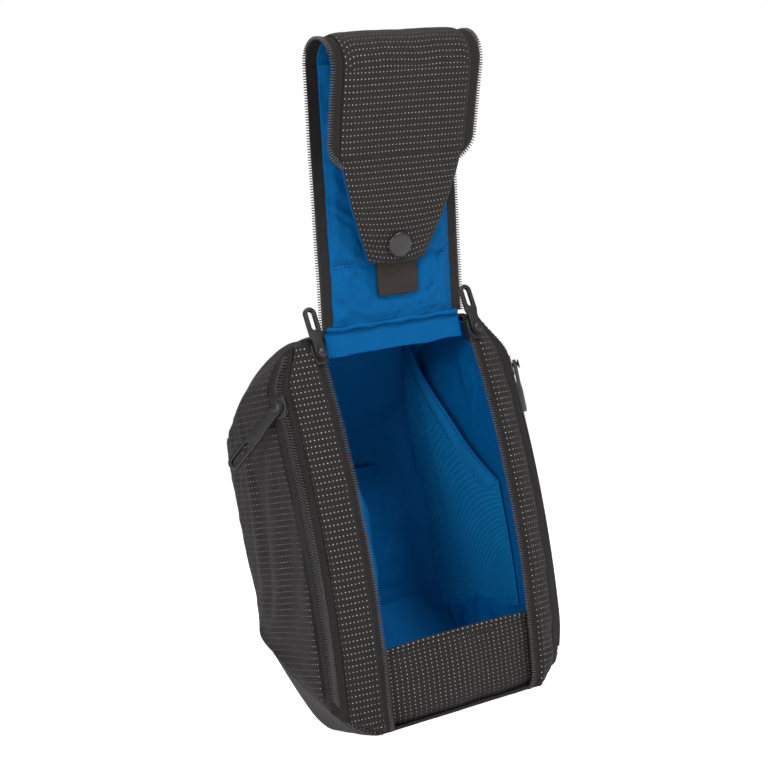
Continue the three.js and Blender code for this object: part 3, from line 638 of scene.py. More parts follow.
def turn_outward(made):
    """Turns every face to look out of its closed body."""
    work = bmesh.new()
    work.from_mesh(made.data)
    bmesh.ops.recalc_face_normals(work, faces=work.faces)
    work.to_mesh(made.data)
    work.free()


def grid(face, columns, rows):
    """The places face(u, v) on an even grid."""
    return np.array(
        [[face(i / columns, j / rows) for i in range(columns + 1)] for j in range(rows + 1)]
    )


def quads(rows, columns):
    """The faces between a grid's places."""
    starts = [j * columns + i for j in range(rows - 1) for i in range(columns - 1)]
    return [(a, a + 1, a + 1 + columns, a + columns) for a in starts]


def grid_shares(points):
    """How far across and up a grid its columns and rows are, from 0 to 1."""
    rows, columns = points.shape[:2]
    return np.linspace(0, 1, columns)[None, :], np.linspace(0, 1, rows)[:, None]


def grid_normals(points, outward):
    along = np.gradient(points, axis=1)
    up = np.gradient(points, axis=0)
    normals = np.cross(along, up)
    normals /= np.linalg.norm(normals, axis=2, keepdims=True) + 1e-12
    middle = normals[normals.shape[0] // 2, normals.shape[1] // 2]
    return normals if np.dot(middle, np.array(outward)) > 0 else -normals


def grid_lengths(points):
    """How far each place lies along its row and up its column, in metres."""
    steps = np.linalg.norm(np.diff(points, axis=1), axis=2)
    across = np.concatenate([np.zeros((points.shape[0], 1)), np.cumsum(steps, axis=1)], axis=1)
    steps = np.linalg.norm(np.diff(points, axis=0), axis=2)
    up = np.concatenate([np.zeros((1, points.shape[1])), np.cumsum(steps, axis=0)], axis=0)
    return across, up


def crumple(points, size, seed, stretch=(1, 1, 1)):
    """Soft uneven folds over a grid of places, from about -1 to 1."""
    scale = np.array(stretch) / size
    return np.array(
        [
            [noise.fractal(Vector(p * scale) + Vector((seed, 0, 0)), 0.9, 2.0, 3) for p in row]
            for row in points
        ]
    )


def crinkle(value):
    """Turns a smooth noise into thin raised creases, from 0 to 1."""
    return max(0.0, 1 - abs(value) * 4.5) ** 2


PUCKER_PITCH = 9 * MM
TUCK_REACH = 2.6 * MM


def soften(points, outward, puff=0.0, folds=0.0, fold_size=45, seed=0.0, stretch=(1, 1, 1),
           tucks=(0, 0, 0, 0), puckers=0.0):
    """Gives a grid the look of sewn cloth: puffed, creased, tucked and puckered at its seams.

    These lengths are in millimetres. tucks are depths at the left, right, bottom and top edges.
    """
    normals = grid_normals(points, outward)
    across, up = grid_lengths(points)
    gaps = [across, across[:, -1:] - across, up, up[-1:, :] - up]
    u, v = grid_shares(points)
    inner = (4 * u * (1 - u)) ** 0.7 * (4 * v * (1 - v)) ** 0.35
    lift = puff * MM * inner
    if folds:
        crease = folds * MM * crumple(points, fold_size * MM, seed, stretch)
        lift = lift + crease * np.clip(inner * 1.6, 0, 1)
    if puckers:
        wave = puckers * MM * crumple(points, PUCKER_PITCH, seed + 7.3)
    for depth, gap in zip(tucks, gaps):
        if depth:
            lift = lift - depth * MM * np.clip(1 - gap / TUCK_REACH, 0, 1) ** 2
        if depth and puckers:
            near = np.exp(-gap / (1.2 * PUCKER_PITCH))
            lift = lift + wave * near * np.clip(gap / TUCK_REACH, 0, 1)
    return points + normals * lift[..., None]


def cloth_shape(points, outward, thickness, turned=False, level=False):
    """A closed sheet of cloth whose outer face is the grid; level keeps its rows level."""
    normals = grid_normals(points, outward)
    back = points - normals * thickness
    across, up = grid_lengths(points)
    if level:
        up = points[..., 2]
    if turned:
        across, up = up, across
    rows, columns = points.shape[:2]
    shape = Shape()
    places = [Vector(p) for p in points.reshape(-1, 3)] + [Vector(p) for p in back.reshape(-1, 3)]
    flat = np.stack([across, up], axis=2).reshape(-1, 2)
    size = rows * columns
    faces = []
    for ring in quads(rows, columns):
        faces.append(ring)
        faces.append(tuple(reversed([k + size for k in ring])))
    rim = (
        [j * columns for j in range(rows - 1, 0, -1)]
        + list(range(columns - 1))
        + [j * columns + columns - 1 for j in range(rows - 1)]
        + [(rows - 1) * columns + i for i in range(columns - 1, 0, -1)]
    )
    for a, b in zip(rim, rim[1:] + rim[:1]):
        faces.append((b, a, a + size, b + size))
    corners = [tuple(tuple(flat[k % size]) for k in face) for face in faces]
    shape.add(places, faces, corners)
    return shape


def sewn(name, body, material, face, columns, rows, thickness, outward, replaces=None, turned=False,
         level=False, **looks):
    """One soft panel as a piece; where nothing else is said, it replaces the node of its name."""
    points = soften(grid(face, columns, rows), outward, **looks)
    sheet = cloth_shape(points, outward, thickness, turned, level)
    sheet.piece(name, body, material, replaces or [name])


def frames_along(path, hint):
    """A direction along, one across and one out for each place of a path."""
    frames = []
    for i, place in enumerate(path):
        along = (path[min(i + 1, len(path) - 1)] - path[max(i - 1, 0)]).normalized()
        out = hint(i) if callable(hint) else Vector(hint)
        out = (out - along * out.dot(along)).normalized()
        frames.append((place, along, along.cross(out), out))
    return frames


def oval_ring(centre, across, out, width, height, sides, grow):
    turns = [math.tau * i / sides for i in range(sides)]
    return [
        centre
        + across * (math.cos(turn) * width / 2 * grow)
        + out * (math.sin(turn) * height / 2 * grow)
        for turn in turns
    ]


def cord_shape(path, hint, width, height, sides):
    """A round or oval cord along a path; width lies across it and height out of it."""
    shape = Shape()
    rings = []
    for k, (place, _, across, out) in enumerate(frames_along(path, hint)):
        end = min(k, len(path) - 1 - k)
        taper = 0.55 if end == 0 else 1.0
        rings.append(oval_ring(place, across, out, width, height, sides, taper))
    shape.sweep(rings)
    return shape


def capsule(shape, middle, along, out, length, width, height, sides=6):
    """A small rounded bar, for a tooth or a stitch."""
    across = along.cross(out)
    rings = []
    for place, grow in ((-0.5, 0.45), (-0.36, 0.95), (0, 1.0), (0.36, 0.95), (0.5, 0.45)):
        centre = middle + along * (place * length)
        rings.append(oval_ring(centre, across, out, width, height, sides, grow))
    shape.sweep(rings)


def even_path(place, start, end, pitch):
    """Places an even pitch apart on a curve that place(t) gives."""
    fine = 600
    curve = [place(start + (end - start) * i / fine) for i in range(fine + 1)]
    lengths = [0.0]
    for a, b in zip(curve, curve[1:]):
        lengths.append(lengths[-1] + (b - a).length)
    count = max(2, int(lengths[-1] / pitch))
    shares = np.interp(np.linspace(0, lengths[-1], count + 1), lengths, np.linspace(0, 1, fine + 1))
    return [place(start + (end - start) * s) for s in shares]


STITCH_LENGTH, STITCH_PITCH, THREAD = 2.1 * MM, 3.0 * MM, 0.45 * MM


def stitches(name, body, place, start, end, hint, material):
    """A row of sewn stitches that sink at both ends."""
    shape = Shape()
    path = even_path(place, start, end, STITCH_PITCH)
    for centre, along, _, out in frames_along(path, hint):
        capsule(shape, centre, along, out, STITCH_LENGTH, THREAD, THREAD * 0.8)
    shape.piece(name, body, material)


SETTLE_FRAMES = 22


def settle(points, slack):
    """Lets a sheet a little larger than its frame hang from its held edges, as cloth."""
    rows, columns = points.shape[:2]
    mesh = bpy.data.meshes.new("settling")
    mesh.from_pydata([tuple(p) for p in points.reshape(-1, 3)], [], quads(rows, columns))
    sheet = placed("settling", mesh)
    group = sheet.vertex_groups.new(name="held")
    pinned = [
        j * columns + i
        for j in range(rows)
        for i in range(columns)
        if i in (0, columns - 1) or j in (0, rows - 1)
    ]
    group.add(pinned, 1.0, "REPLACE")
    cloth = sheet.modifiers.new("cloth", "CLOTH").settings
    cloth.quality = 6
    cloth.mass = 0.25
    cloth.tension_stiffness = 25
    cloth.compression_stiffness = 25
    cloth.shear_stiffness = 12
    cloth.bending_stiffness = 0.8
    cloth.tension_damping = 12
    cloth.compression_damping = 12
    cloth.shear_damping = 12
    cloth.bending_damping = 2
    cloth.air_damping = 4
    cloth.shrink_min = -slack
    cloth.shrink_max = -slack
    cloth.vertex_group_mass = "held"
    cloth.effector_weights.gravity = 0.25
    scene = bpy.context.scene
    for frame_number in range(1, SETTLE_FRAMES + 1):
        scene.frame_set(frame_number)
    settled = sheet.evaluated_get(bpy.context.evaluated_depsgraph_get()).data
    flat = np.zeros(rows * columns * 3)
    settled.vertices.foreach_get("co", flat)
    scene.frame_set(1)
    bpy.data.objects.remove(sheet)
    bpy.data.meshes.remove(mesh)
    return flat.reshape(rows, columns, 3)


def plate(outlines, thickness, bevel, place):
    """A flat plate with rounded edges, from its outline and the outlines of its holes."""
    curve = bpy.data.curves.new("plate", "CURVE")
    curve.dimensions = "2D"
    curve.fill_mode = "BOTH"
    curve.extrude = thickness / 2 - bevel
    curve.bevel_depth = bevel
    curve.bevel_resolution = 3
    curve.offset = -bevel
    for outline in outlines:
        line = curve.splines.new("POLY")
        line.points.add(len(outline) - 1)
        for point, (x, y) in zip(line.points, outline):
            point.co = (x, y, 0, 1)
        line.use_cyclic_u = True
    shaping = placed("plate", curve)
    bpy.context.view_layer.update()
    mesh = bpy.data.meshes.new_from_object(
        shaping.evaluated_get(bpy.context.evaluated_depsgraph_get())
    )
    bpy.data.objects.remove(shaping)
    mesh.transform(place)
    return mesh


def arc(x, y, radius, start, end, steps):
    return [
        (x + radius * math.cos(start + (end - start) * i / steps),
         y + radius * math.sin(start + (end - start) * i / steps))
        for i in range(steps + 1)
    ]


def joined_piece(name, meshes, body, material):
    """Several closed meshes as one piece on a body; it replaces the node of its name."""
    node = name
    if name in bpy.data.objects:
        name += "_shaped"
    work = bmesh.new()
    for mesh in meshes:
        work.from_mesh(mesh)
    bmesh.ops.remove_doubles(work, verts=work.verts, dist=1e-6)
    bmesh.ops.recalc_face_normals(work, faces=work.faces)
    layer = work.loops.layers.uv.get("cloth") or work.loops.layers.uv.new("cloth")
    for face in work.faces:
        face.smooth = True
        face.material_index = 0
        for loop in face.loops:
            loop[layer].uv = (loop.vert.co.x, loop.vert.co.z)
    mesh = bpy.data.meshes.new(name)
    work.to_mesh(mesh)
    work.free()
    mesh.materials.append(MATERIALS[material])
    made = placed(name, mesh)
    edges = made.modifiers.new("edges", "EDGE_SPLIT")
    edges.split_angle = math.radians(50)
    bpy.context.view_layer.update()
    evaluated = made.evaluated_get(bpy.context.evaluated_depsgraph_get())
    split = bpy.data.meshes.new_from_object(evaluated)
    made.modifiers.clear()
    made.data = split
    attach(made, body)
    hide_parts(node)


def lathe(profile, place, steps=48):
    """A round body from (radius, height) pairs, as a mesh."""
    points, faces = [], []
    for radius, height in profile:
        for i in range(steps):
            turn = math.tau * i / steps
            points.append(place @ Vector((radius * math.cos(turn), radius * math.sin(turn), height)))
    for k in range(len(profile) - 1):
        for i in range(steps):
            j = (i + 1) % steps
            faces.append((k * steps + i, k * steps + j, (k + 1) * steps + j, (k + 1) * steps + i))
    if profile[0] != profile[-1]:
        faces.append(tuple(reversed(range(steps))))
        last = (len(profile) - 1) * steps
        faces.append(tuple(last + i for i in range(steps)))
    mesh = bpy.data.meshes.new("turned")
    mesh.from_pydata([tuple(p) for p in points], [], faces)
    return mesh


# ---------------------------------------------------------------- the outside
FACE_END = 0.997


def pocket_face(side):
    def face(u, v):
        return flank_point(side, TAPE_END + (FACE_END - TAPE_END) * u, v)

    return face


def band_face(side):
    """The strip between the two zippers; its front edge rolls over the mouth's tape."""
    lap = 0.22

    def face(u, v):
        if u > lap:
            last = RIGHT_BAND_END if side > 0 else BAND_END
            return flank_point(side, last * (u - lap) / (1 - lap), v)
        edge = flank_point(side, 0.0, v)
        share = 1 - u / lap
        forward = 1.9 * MM * math.sin(math.pi / 2 * share)
        return edge + Vector((-side * 4.2 * MM * share, -forward, 0))

    return face


def tape_face(side):
    """The pocket zipper's tape arches up under its coil."""
    low, high = (RIGHT_BAND_END if side > 0 else BAND_END) - 0.01, TAPE_END + 0.01
    arch = 2.6 if side > 0 else 1.6

    def face(u, v):
        lift = (arch * math.sin(math.pi * u) ** 0.8 - 0.8) * MM
        return flank_point(side, low + (high - low) * u, v, lift)

    return face


def build_flanks():
    for label, side in SIDES:
        outward = (side, -0.8, 0)
        sewn(
            f"flank_band_{label}", "bag", "dotted_cloth", band_face(side), 26, 130,
            SHELL_CLOTH, outward, level=True,
            puff=1.8, folds=1.2, fold_size=26, seed=3 + side, stretch=(1, 1, 1.5),
            tucks=(1.2, 1.8, 1.2, 1.2), puckers=0.5,
        )
        sewn(
            f"pocket_tape_{label}", "bag", "dark_tape", tape_face(side), 18, 130,
            TAPE_THICKNESS, outward, folds=0.35, fold_size=20, seed=9 + side,
        )
        points = grid(pocket_face(side), 46, 96)
        points = soften(
            points, (side, 0, 0), puff=3.0, folds=1.1, fold_size=52, seed=21 + 5 * side,
            stretch=(1, 1, 1.3),
        )
        points = settle(points, 0.0012)
        points = soften(
            points, (side, 0, 0), folds=0.5, fold_size=16, seed=31 + side,
            tucks=(2.0, 1.6, 1.6, 1.6), puckers=0.6,
        )
        name = f"pocket_face_{label}"
        sheet = cloth_shape(points, (side, 0, 0), SHELL_CLOTH, level=True)
        sheet.piece(name, "bag", "dotted_cloth", [name])


def build_pocket_coils():
    """Each side pocket's zipper is shut: two coils of loops hooked into each other."""
    loop_pitch = 1.65 * MM
    foot, head = 0.045, 0.985
    half = 3.4 * MM
    share_per_width = 2 * (TAPE_MIDDLE - BAND_END) / POCKET_TAPE_WIDTH
    for label, side in SIDES:
        shape = Shape()

        def at(x, rise, lift, side=side):
            raised = 0.9 * MM if side > 0 else 0.0
            middle = TAPE_MIDDLE - (0.012 if side > 0 else 0.0)
            return flank_point(side, middle + x * share_per_width, rise, lift + raised)

        path = even_path(lambda t: at(0, t, 0), foot, head, loop_pitch)
        count = len(path)
        for k in range(count):
            step = (head - foot) / (count - 1)
            rise = foot + step * k
            for coil in (-1, 1):
                offset = 0.25 * step * coil
                near = at(coil * -0.5 * MM, rise + offset, 1.5 * MM)
                far = at(coil * half, rise + offset - 0.9 * step, 0.75 * MM)
                out = (at(0, rise, 2 * MM) - at(0, rise, 0)).normalized()
                along = (far - near).normalized()
                out = (out - along * out.dot(along)).normalized()
                length = (far - near).length * 1.1
                capsule(shape, (near + far) / 2, along, out, length, 0.92 * MM, 1.3 * MM)
        shape.piece(f"pocket_coil_{label}", "bag", "coil_loops", [f"pocket_coil_{label}"])
        for row, offset in (("inner", -4.3 * MM), ("outer", 4.3 * MM)):
            stitches(
                f"pocket_coil_stitches_{row}_{label}", "bag", lambda t, o=offset: at(o, t, 0.55 * MM),
                0.02, 0.98, (side, -0.9, 0), "dark_thread",
            )


def tooth(shape, centre, along, out, toward, width, height):
    """One moulded tooth; toward is the side it points to, square to the zipper."""
    toward = (toward - along * toward.dot(along)).normalized()
    capsule(shape, centre + toward * 0.35 * MM, toward, out, 3.4 * MM, width, height)


def build_main_zips():
    """The mouth's own half of each flap zipper: a tape with a comb of moulded teeth."""
    foot = 7 * MM
    top = BAG_LENGTH - SHELL_CLOTH - SEAM_GAP

    def line(x, t, lift, side):
        """t runs from the curled foot up to the top."""
        drift = 0.5 * MM * noise.noise(Vector((side * 3.0, t * 9, 0.5)))
        z = -0.5 * MM + (top + 0.5 * MM) * t
        back = 0.0
        if z < foot:
            turn = (foot - z) / foot
            back = 3.4 * MM * turn * turn
        x -= foot_pull(side, z, 0)
        z = max(z, 0.4 * MM)
        return Vector((side * (x + drift), y_at(-lift, z) + back, z))

    for label, side in SIDES:
        outward = (0, -1, 0)

        def tape(u, v, side=side):
            x = CHAIN_INNER + 1.3 * MM + (TAPE_OUTER + 1.2 * MM - CHAIN_INNER - 1.3 * MM) * u
            lift = 0.5 * MM - 1.4 * MM * smoothstep(u, 0.75, 1)
            return line(x, v, lift, side)

        sewn(
            f"main_zip_tape_{label}", "bag", "dark_tape", tape, 12, 120, TAPE_THICKNESS, outward,
            [f"main_zip_{label}"], folds=0.4, fold_size=18, seed=40 + side,
        )
        shape = Shape()
        start, end = 0.004, 0.996
        path = even_path(lambda t: line(CHAIN_INNER + 1.2 * MM, t, 0.0, side), start, end, TOOTH_PITCH)
        for centre, along, _, out in frames_along(path, outward):
            tooth(shape, centre, along, out, Vector((-side, 0, 0)), 0.8 * MM, 2.5 * MM)
        edge = [line(CHAIN_INNER + 2.2 * MM, t, 0.0, side) for t in np.linspace(start, end, 120)]
        cord = cord_shape(edge, outward, 0.9 * MM, 1.5 * MM, 8)
        cord.piece(f"main_zip_cord_{label}", "bag", "dark_tape")
        shape.piece(f"main_zip_teeth_{label}", "bag", "zipper_teeth", [f"main_zip_{label}"])
        stitches(
            f"main_zip_stitches_{label}", "bag",
            lambda t, s=side: line(TAPE_OUTER - 2.4 * MM, t, 0.62 * MM, s),
            0.03, 0.98, outward, "dark_thread",
        )


def drooped(x, depth, z, inside):
    """Keeps a place on the lining under the top panel's turned corners."""
    half = half_width_at(depth, flank_high(depth)) - END_MARGIN
    roof = turned_height(top_at, flank_high, TOP_CORNER_START, x, depth, half) - inside * 1.25
    return min(z, roof)


def across_panel(height_at, inside, front, limit):
    def face(u, v):
        depth = front + (LINING_REAR - front) * v
        x = (2 * u - 1) * limit
        z = drooped(x, depth, height_at(depth, inside), inside)
        x -= foot_pull(math.copysign(1, x), z, depth - LINING_PULL_SETBACK) * x / limit
        return Vector((x, y_at(depth, z), z))

    return face


def build_ends_and_back():
    rear = BAG_DEPTH - 0.6 * MM
    sewn(
        "top_panel", "bag", "dotted_cloth",
        turned_panel(top_at, flank_high, TOP_CORNER_START, -0.9 * MM, rear), 80, 50,
        SHELL_CLOTH, (0, 0, 1), puff=1.4, folds=1.6, fold_size=34, seed=51,
        tucks=(1.2, 1.2, 0.6, 0.8), puckers=0.5,
    )
    sewn(
        "base_panel", "bag", "dotted_cloth",
        turned_panel(base_at, flank_low, CORNER_START, 1.2 * MM, rear), 80, 50,
        SHELL_CLOTH, (0, 0, -1), folds=0.5, fold_size=34, seed=52,
        tucks=(0.8, 0.8, 0.5, 0.8), puckers=0.3, turned=True,
    )
    edge = spline(FLANK_OUTLINE, 1).x
    low, high = base_at(BAG_DEPTH) - 1.2 * MM, top_at(BAG_DEPTH) + 1.2 * MM

    def back(u, v):
        return Vector(((2 * u - 1) * (edge + 0.8 * MM), y_at(BAG_DEPTH, 0), low + (high - low) * v))

    points = soften(
        grid(back, 54, 60), (0, 1, 0), puff=2.0, folds=1.8, fold_size=48, seed=53,
    )
    points = settle(points, 0.003)
    points = soften(
        points, (0, 1, 0), folds=0.4, fold_size=15, seed=54,
        tucks=(1.4, 1.4, 0.8, 0.8), puckers=0.4,
    )
    sheet = cloth_shape(points, (0, 1, 0), SHELL_CLOTH)
    sheet.piece("back_panel", "bag", "dotted_cloth", ["back_panel"])


def build_front_panel():
    """The low panel that closes the mouth's foot; its cloth is cut with the dots upright."""
    half = LINING_HALF - 0.4 * MM
    setback = 3.8 * MM

    def face(u, v):
        z = FRONT_PANEL_HEIGHT * v
        bulge = 3.6 * MM * (1 - (2 * u - 1) ** 2) * math.sin(math.pi * min(1, 0.25 + 0.7 * v))
        under = foot_curve(5.5 * MM, 9 * MM, z)
        x = (2 * u - 1) * half
        x -= foot_pull(math.copysign(1, x), z, 0) * x / half
        y = y_at(setback - bulge, z) + under
        return Vector((x, y, max(z, 0.3 * MM) - 1.5 * MM * (2 * u - 1) ** 2 * v))

    sewn(
        "front_panel", "bag", "dotted_cloth", face, 50, 30, SHELL_CLOTH, (0, -1, 0),
        turned=True, folds=0.9, fold_size=24, seed=61,
        tucks=(0.8, 0.8, 0.0, 0.4), puckers=0.3,
    )
    rim = [face(t, 1.0) + Vector((0, 0.7 * MM, 0.2 * MM)) for t in np.linspace(0, 1, 60)]
    hem = cord_shape(rim, (0, -1, 0), 2.4 * MM, 2.6 * MM, 12)
    hem.piece("front_panel_hem", "bag", "dotted_cloth")
    stitches(
        "front_panel_stitches", "bag",
        lambda t: face(t, 1 - 4.2 * MM / FRONT_PANEL_HEIGHT) + Vector((0, -0.3 * MM, 0)),
        0.02, 0.98, (0, -1, 0), "dark_thread",
    )

    def inner(u, v):
        return face(u, 0.08 + 0.9 * v) + Vector((0, 2.3 * MM, 0))

    sewn(
        "lining_front", "bag", "blue_lining", inner, 40, 20, LINING_CLOTH, (0, 1, 0),
        folds=0.4, fold_size=20, seed=62,
    )


# ---------------------------------------------------------------- the inside
LINING_REAR = BAG_DEPTH - SHELL_CLOTH - LINING_CLOTH - 4 * SEAM_GAP


def lining_wall(turn):
    """A place in plan on the lining's wall: turn runs 0..1 round from the left front edge."""
    rear = LINING_REAR - 2.2 * MM
    corner = 16 * MM
    flare = 5 * MM
    straight = rear - corner - flare
    bend = corner * math.pi / 2
    across = 2 * (LINING_HALF - corner)
    total = 2 * (flare + straight + bend) + across
    run = turn * total
    side = -1
    if run > total / 2:
        run = total - run
        side = 1
    if run < flare:
        share = 1 - run / flare
        depth = 0.9 * MM + (run / flare) * (flare - 0.9 * MM)
        return side * (LINING_HALF + 3.6 * MM * share * share), depth
    run -= flare
    if run < straight:
        return side * LINING_HALF, flare + run
    run -= straight
    if run < bend:
        angle = run / corner
        return (
            side * (LINING_HALF - corner + corner * math.cos(angle)),
            flare + straight + corner * math.sin(angle),
        )
    run -= bend
    return side * (LINING_HALF - corner - run), rear


def build_linings():
    def wall(u, v):
        x, depth = lining_wall(u)
        inside = LINING_DROP + 0.4 * MM
        low = base_at(depth, inside)
        high = drooped(x, depth, top_at(depth, inside), inside)
        z = low + (high - low) * v
        if x > 0:
            x -= foot_pull(1, z, depth - LINING_PULL_SETBACK)
        else:
            # Loose cloth bellies out beside the left zipper.
            belly = smoothstep(depth, 0.9 * MM, 9 * MM) * (1 - smoothstep(depth, 16 * MM, 50 * MM))
            belly *= math.sin(math.pi * smoothstep(v, 0.02, 1.0)) ** 0.7
            x += 14 * MM * belly * (1 + 0.45 * noise.noise(Vector((0, 4, z / (32 * MM)))))
        return Vector((x, y_at(depth, z), z))

    points = grid(wall, 150, 90)
    middle = np.array([0, y_at(BAG_DEPTH * 0.45, BAG_LENGTH / 2), BAG_LENGTH / 2])
    normals = grid_normals(points, (0, -1, 0))
    inward = np.sum(normals * (middle - points), axis=2, keepdims=True) > 0
    normals = np.where(inward, normals, -normals)
    u, v = grid_shares(points)
    hold = np.clip(np.minimum(u, 1 - u) * 14, 0, 1) * np.clip(np.minimum(v, 1 - v) * 9, 0, 1)
    lift = (
        4.2 * MM * crumple(points, 50 * MM, 71, (1, 1, 0.6)) + 1.8 * MM * crumple(points, 20 * MM, 72)
        + 1.5 * MM * np.vectorize(crinkle)(crumple(points, 38 * MM, 73, (1, 1, 0.5)))
    ) * hold
    lift = np.where(lift < 0, lift * 0.35, lift)
    points = points + normals * lift[..., None]
    sheet = cloth_shape(points, (0, -1, 0), LINING_CLOTH)
    sheet.piece("lining_wall", "bag", "blue_lining", ["lining_left", "lining_right", "lining_back"])
    for name, height_at, front, out in (
        ("lining_top", top_at, 1.2 * MM, -1), ("lining_base", base_at, 6 * MM, 1),
    ):
        sewn(
            name, "bag", "blue_lining",
            across_panel(height_at, LINING_DROP + 1.8 * MM, front, LINING_HALF + 0.6 * MM), 50, 44,
            LINING_CLOTH, (0, 0, out), folds=1.4, fold_size=30, seed=73 + out,
        )


def mesh_top_at(depth):
    climb = (depth / MESH_EDGE_REACH) ** 1.35
    free = MESH_EDGE_LOW + (MESH_EDGE_HIGH - MESH_EDGE_LOW) * climb
    return min(free, top_at(depth, LINING_DROP + LINING_CLOTH + 1.5 * MM))


def mesh_point(share, rise, lift=0.0):
    """On the mesh pocket: share runs back from the mouth, rise up from its foot."""
    depth = MESH_FRONT + (MESH_REAR - MESH_FRONT) * share
    z = MESH_BOTTOM + (mesh_top_at(depth) - MESH_BOTTOM) * rise
    stand = MESH_STANDOFF * math.sin(math.pi * share) * math.sin(math.pi / 2 * min(rise, 1)) ** 0.7
    wave = 1.1 * MM * noise.noise(Vector((share * 5, rise * 6, 2.2)))
    stand += wave * min(1, 6 * share) * min(1, 6 * (1 - share))
    return Vector((LINING_HALF - 1.3 * MM - stand - lift, y_at(depth, z), z))


def build_mesh_pocket():
    """Net with rows of small oval holes, under a broad elastic band."""
    columns, rows = 36, 60
    thread = 0.55 * MM
    shape = Shape()
    corners = 8
    index = {}

    def point(u, v, lift):
        key = (round(u, 6), round(v, 6), lift)
        if key not in index:
            index[key] = len(shape.points)
            shape.points.append(mesh_point(u, v, lift))
        return index[key]

    for j in range(rows):
        shift = 0.5 if j % 2 else 0.0
        low, high = j / rows, (j + 1) / rows
        for i in range(-1, columns):
            left = max((i + shift) / columns, 0)
            right = min((i + 1 + shift) / columns, 1)
            if right - left < 0.4 / columns:
                continue
            middle_u, middle_v = (left + right) / 2, (low + high) / 2
            outer = [
                (left, low), (middle_u, low), (right, low), (right, middle_v),
                (right, high), (middle_u, high), (left, high), (left, middle_v),
            ]
            inner = [
                (
                    middle_u + math.cos(math.tau * (k - 3) / corners) * (right - left) * 0.36,
                    middle_v + math.sin(math.tau * (k - 3) / corners) * (high - low) * 0.33,
                )
                for k in range(corners)
            ]
            for k in range(corners):
                n = (k + 1) % corners
                ring = (outer[k], outer[n], inner[n], inner[k])
                top = [point(*at, thread) for at in ring]
                base = [point(*at, 0.0) for at in ring]
                shape.faces.append(tuple(top))
                shape.faces.append(tuple(reversed(base)))
                shape.faces.append((top[3], top[2], base[2], base[3]))
                rim = (
                    (left == 0 and k in (6, 7)) or (right == 1 and k in (2, 3))
                    or (j == 0 and k in (0, 1)) or (j == rows - 1 and k in (4, 5))
                )
                if rim:
                    shape.faces.append((top[1], top[0], base[0], base[1]))
    for face in shape.faces:
        shape.corners.append(tuple((shape.points[k].y, shape.points[k].z) for k in face))
    shape.piece("mesh_pocket", "bag", "blue_mesh", ["mesh_pocket"])

    last = (MESH_EDGE_REACH - MESH_FRONT) / (MESH_REAR - MESH_FRONT)

    def edge(t, down, lift):
        """Along the net's free edge; down is how far into the net, square to the edge."""
        share = last * t
        depth = MESH_FRONT + (MESH_REAR - MESH_FRONT) * share
        step = 1 * MM
        slope = (mesh_top_at(min(depth + step, MESH_EDGE_REACH)) - mesh_top_at(depth - step)) / (
            min(depth + step, MESH_EDGE_REACH) - depth + step
        )
        length = math.hypot(1, slope)
        inner = depth + down * slope / length
        z = mesh_top_at(depth) - down / length
        inner_share = (inner - MESH_FRONT) / (MESH_REAR - MESH_FRONT)
        rise = (z - MESH_BOTTOM) / (mesh_top_at(inner) - MESH_BOTTOM)
        return mesh_point(inner_share, rise, lift)

    def band(u, v):
        return edge(u, 10 * MM * (1 - v) - 0.4 * MM, 1.0 * MM + 0.5 * MM * math.sin(math.pi * v))

    sewn(
        "mesh_pocket_band", "bag", "blue_ribs", band, 90, 12, 1.3 * MM, (-1, 0, 0),
        ["mesh_pocket_binding"], folds=0.25, fold_size=9, seed=81,
    )
    rim = [edge(t, 0.0, 1.0 * MM) for t in np.linspace(0.005, 0.995, 90)]
    cord = cord_shape(rim, (-1, 0, 0), 2.0 * MM, 2.2 * MM, 12)
    cord.piece("mesh_pocket_edge", "bag", "blue_lining")
    stitches(
        "mesh_pocket_stitches", "bag", lambda t: edge(t, 8.6 * MM, 1.8 * MM), 0.02, 0.98,
        (-1, 0, 0), "blue_thread",
    )


def build_slip_pocket():
    """A flat pocket sewn to the lining's back, open along its hemmed top."""
    left = -LINING_HALF + 2 * SEAM_GAP + LINING_CLOTH + 9 * MM
    width = 78 * MM
    low, high = 66 * MM, BAG_LENGTH - 86 * MM
    rear = BAG_DEPTH - SHELL_CLOTH - LINING_CLOTH - 5 * SEAM_GAP

    def place(u, v, lift=0.0):
        stand = 2.2 * MM + 6 * MM * math.sin(math.pi * u) * math.sin(math.pi / 2 * v)
        y = rear - LINING_CLOTH - stand - lift - BASE_FLAT_DEPTH / 2
        return Vector((left + width * u, y, low + (high - low) * v))

    sewn(
        "slip_pocket", "bag", "blue_lining", place, 50, 44, LINING_CLOTH, (0, -1, 0),
        folds=1.6, fold_size=26, seed=91, tucks=(1.4, 1.4, 1.4, 0), puckers=0.5,
    )

    def hem(u, v):
        lift = 0.4 * MM + 0.3 * MM * math.sin(math.pi * v)
        return place(u, 1.0, lift) + Vector((0, 0, (6 * v - 0.5) * MM))

    sewn(
        "slip_pocket_hem", "bag", "blue_lining", hem, 50, 6, 1.2 * MM, (0, -1, 0),
        folds=0.3, fold_size=15, seed=92,
    )


# ---------------------------------------------------------------- handle and hinge
HANDLE_FRONT, HANDLE_REAR = 6 * MM, 64 * MM
HANDLE_RISE = 15 * MM
TAB_FRONT = 70.5 * MM


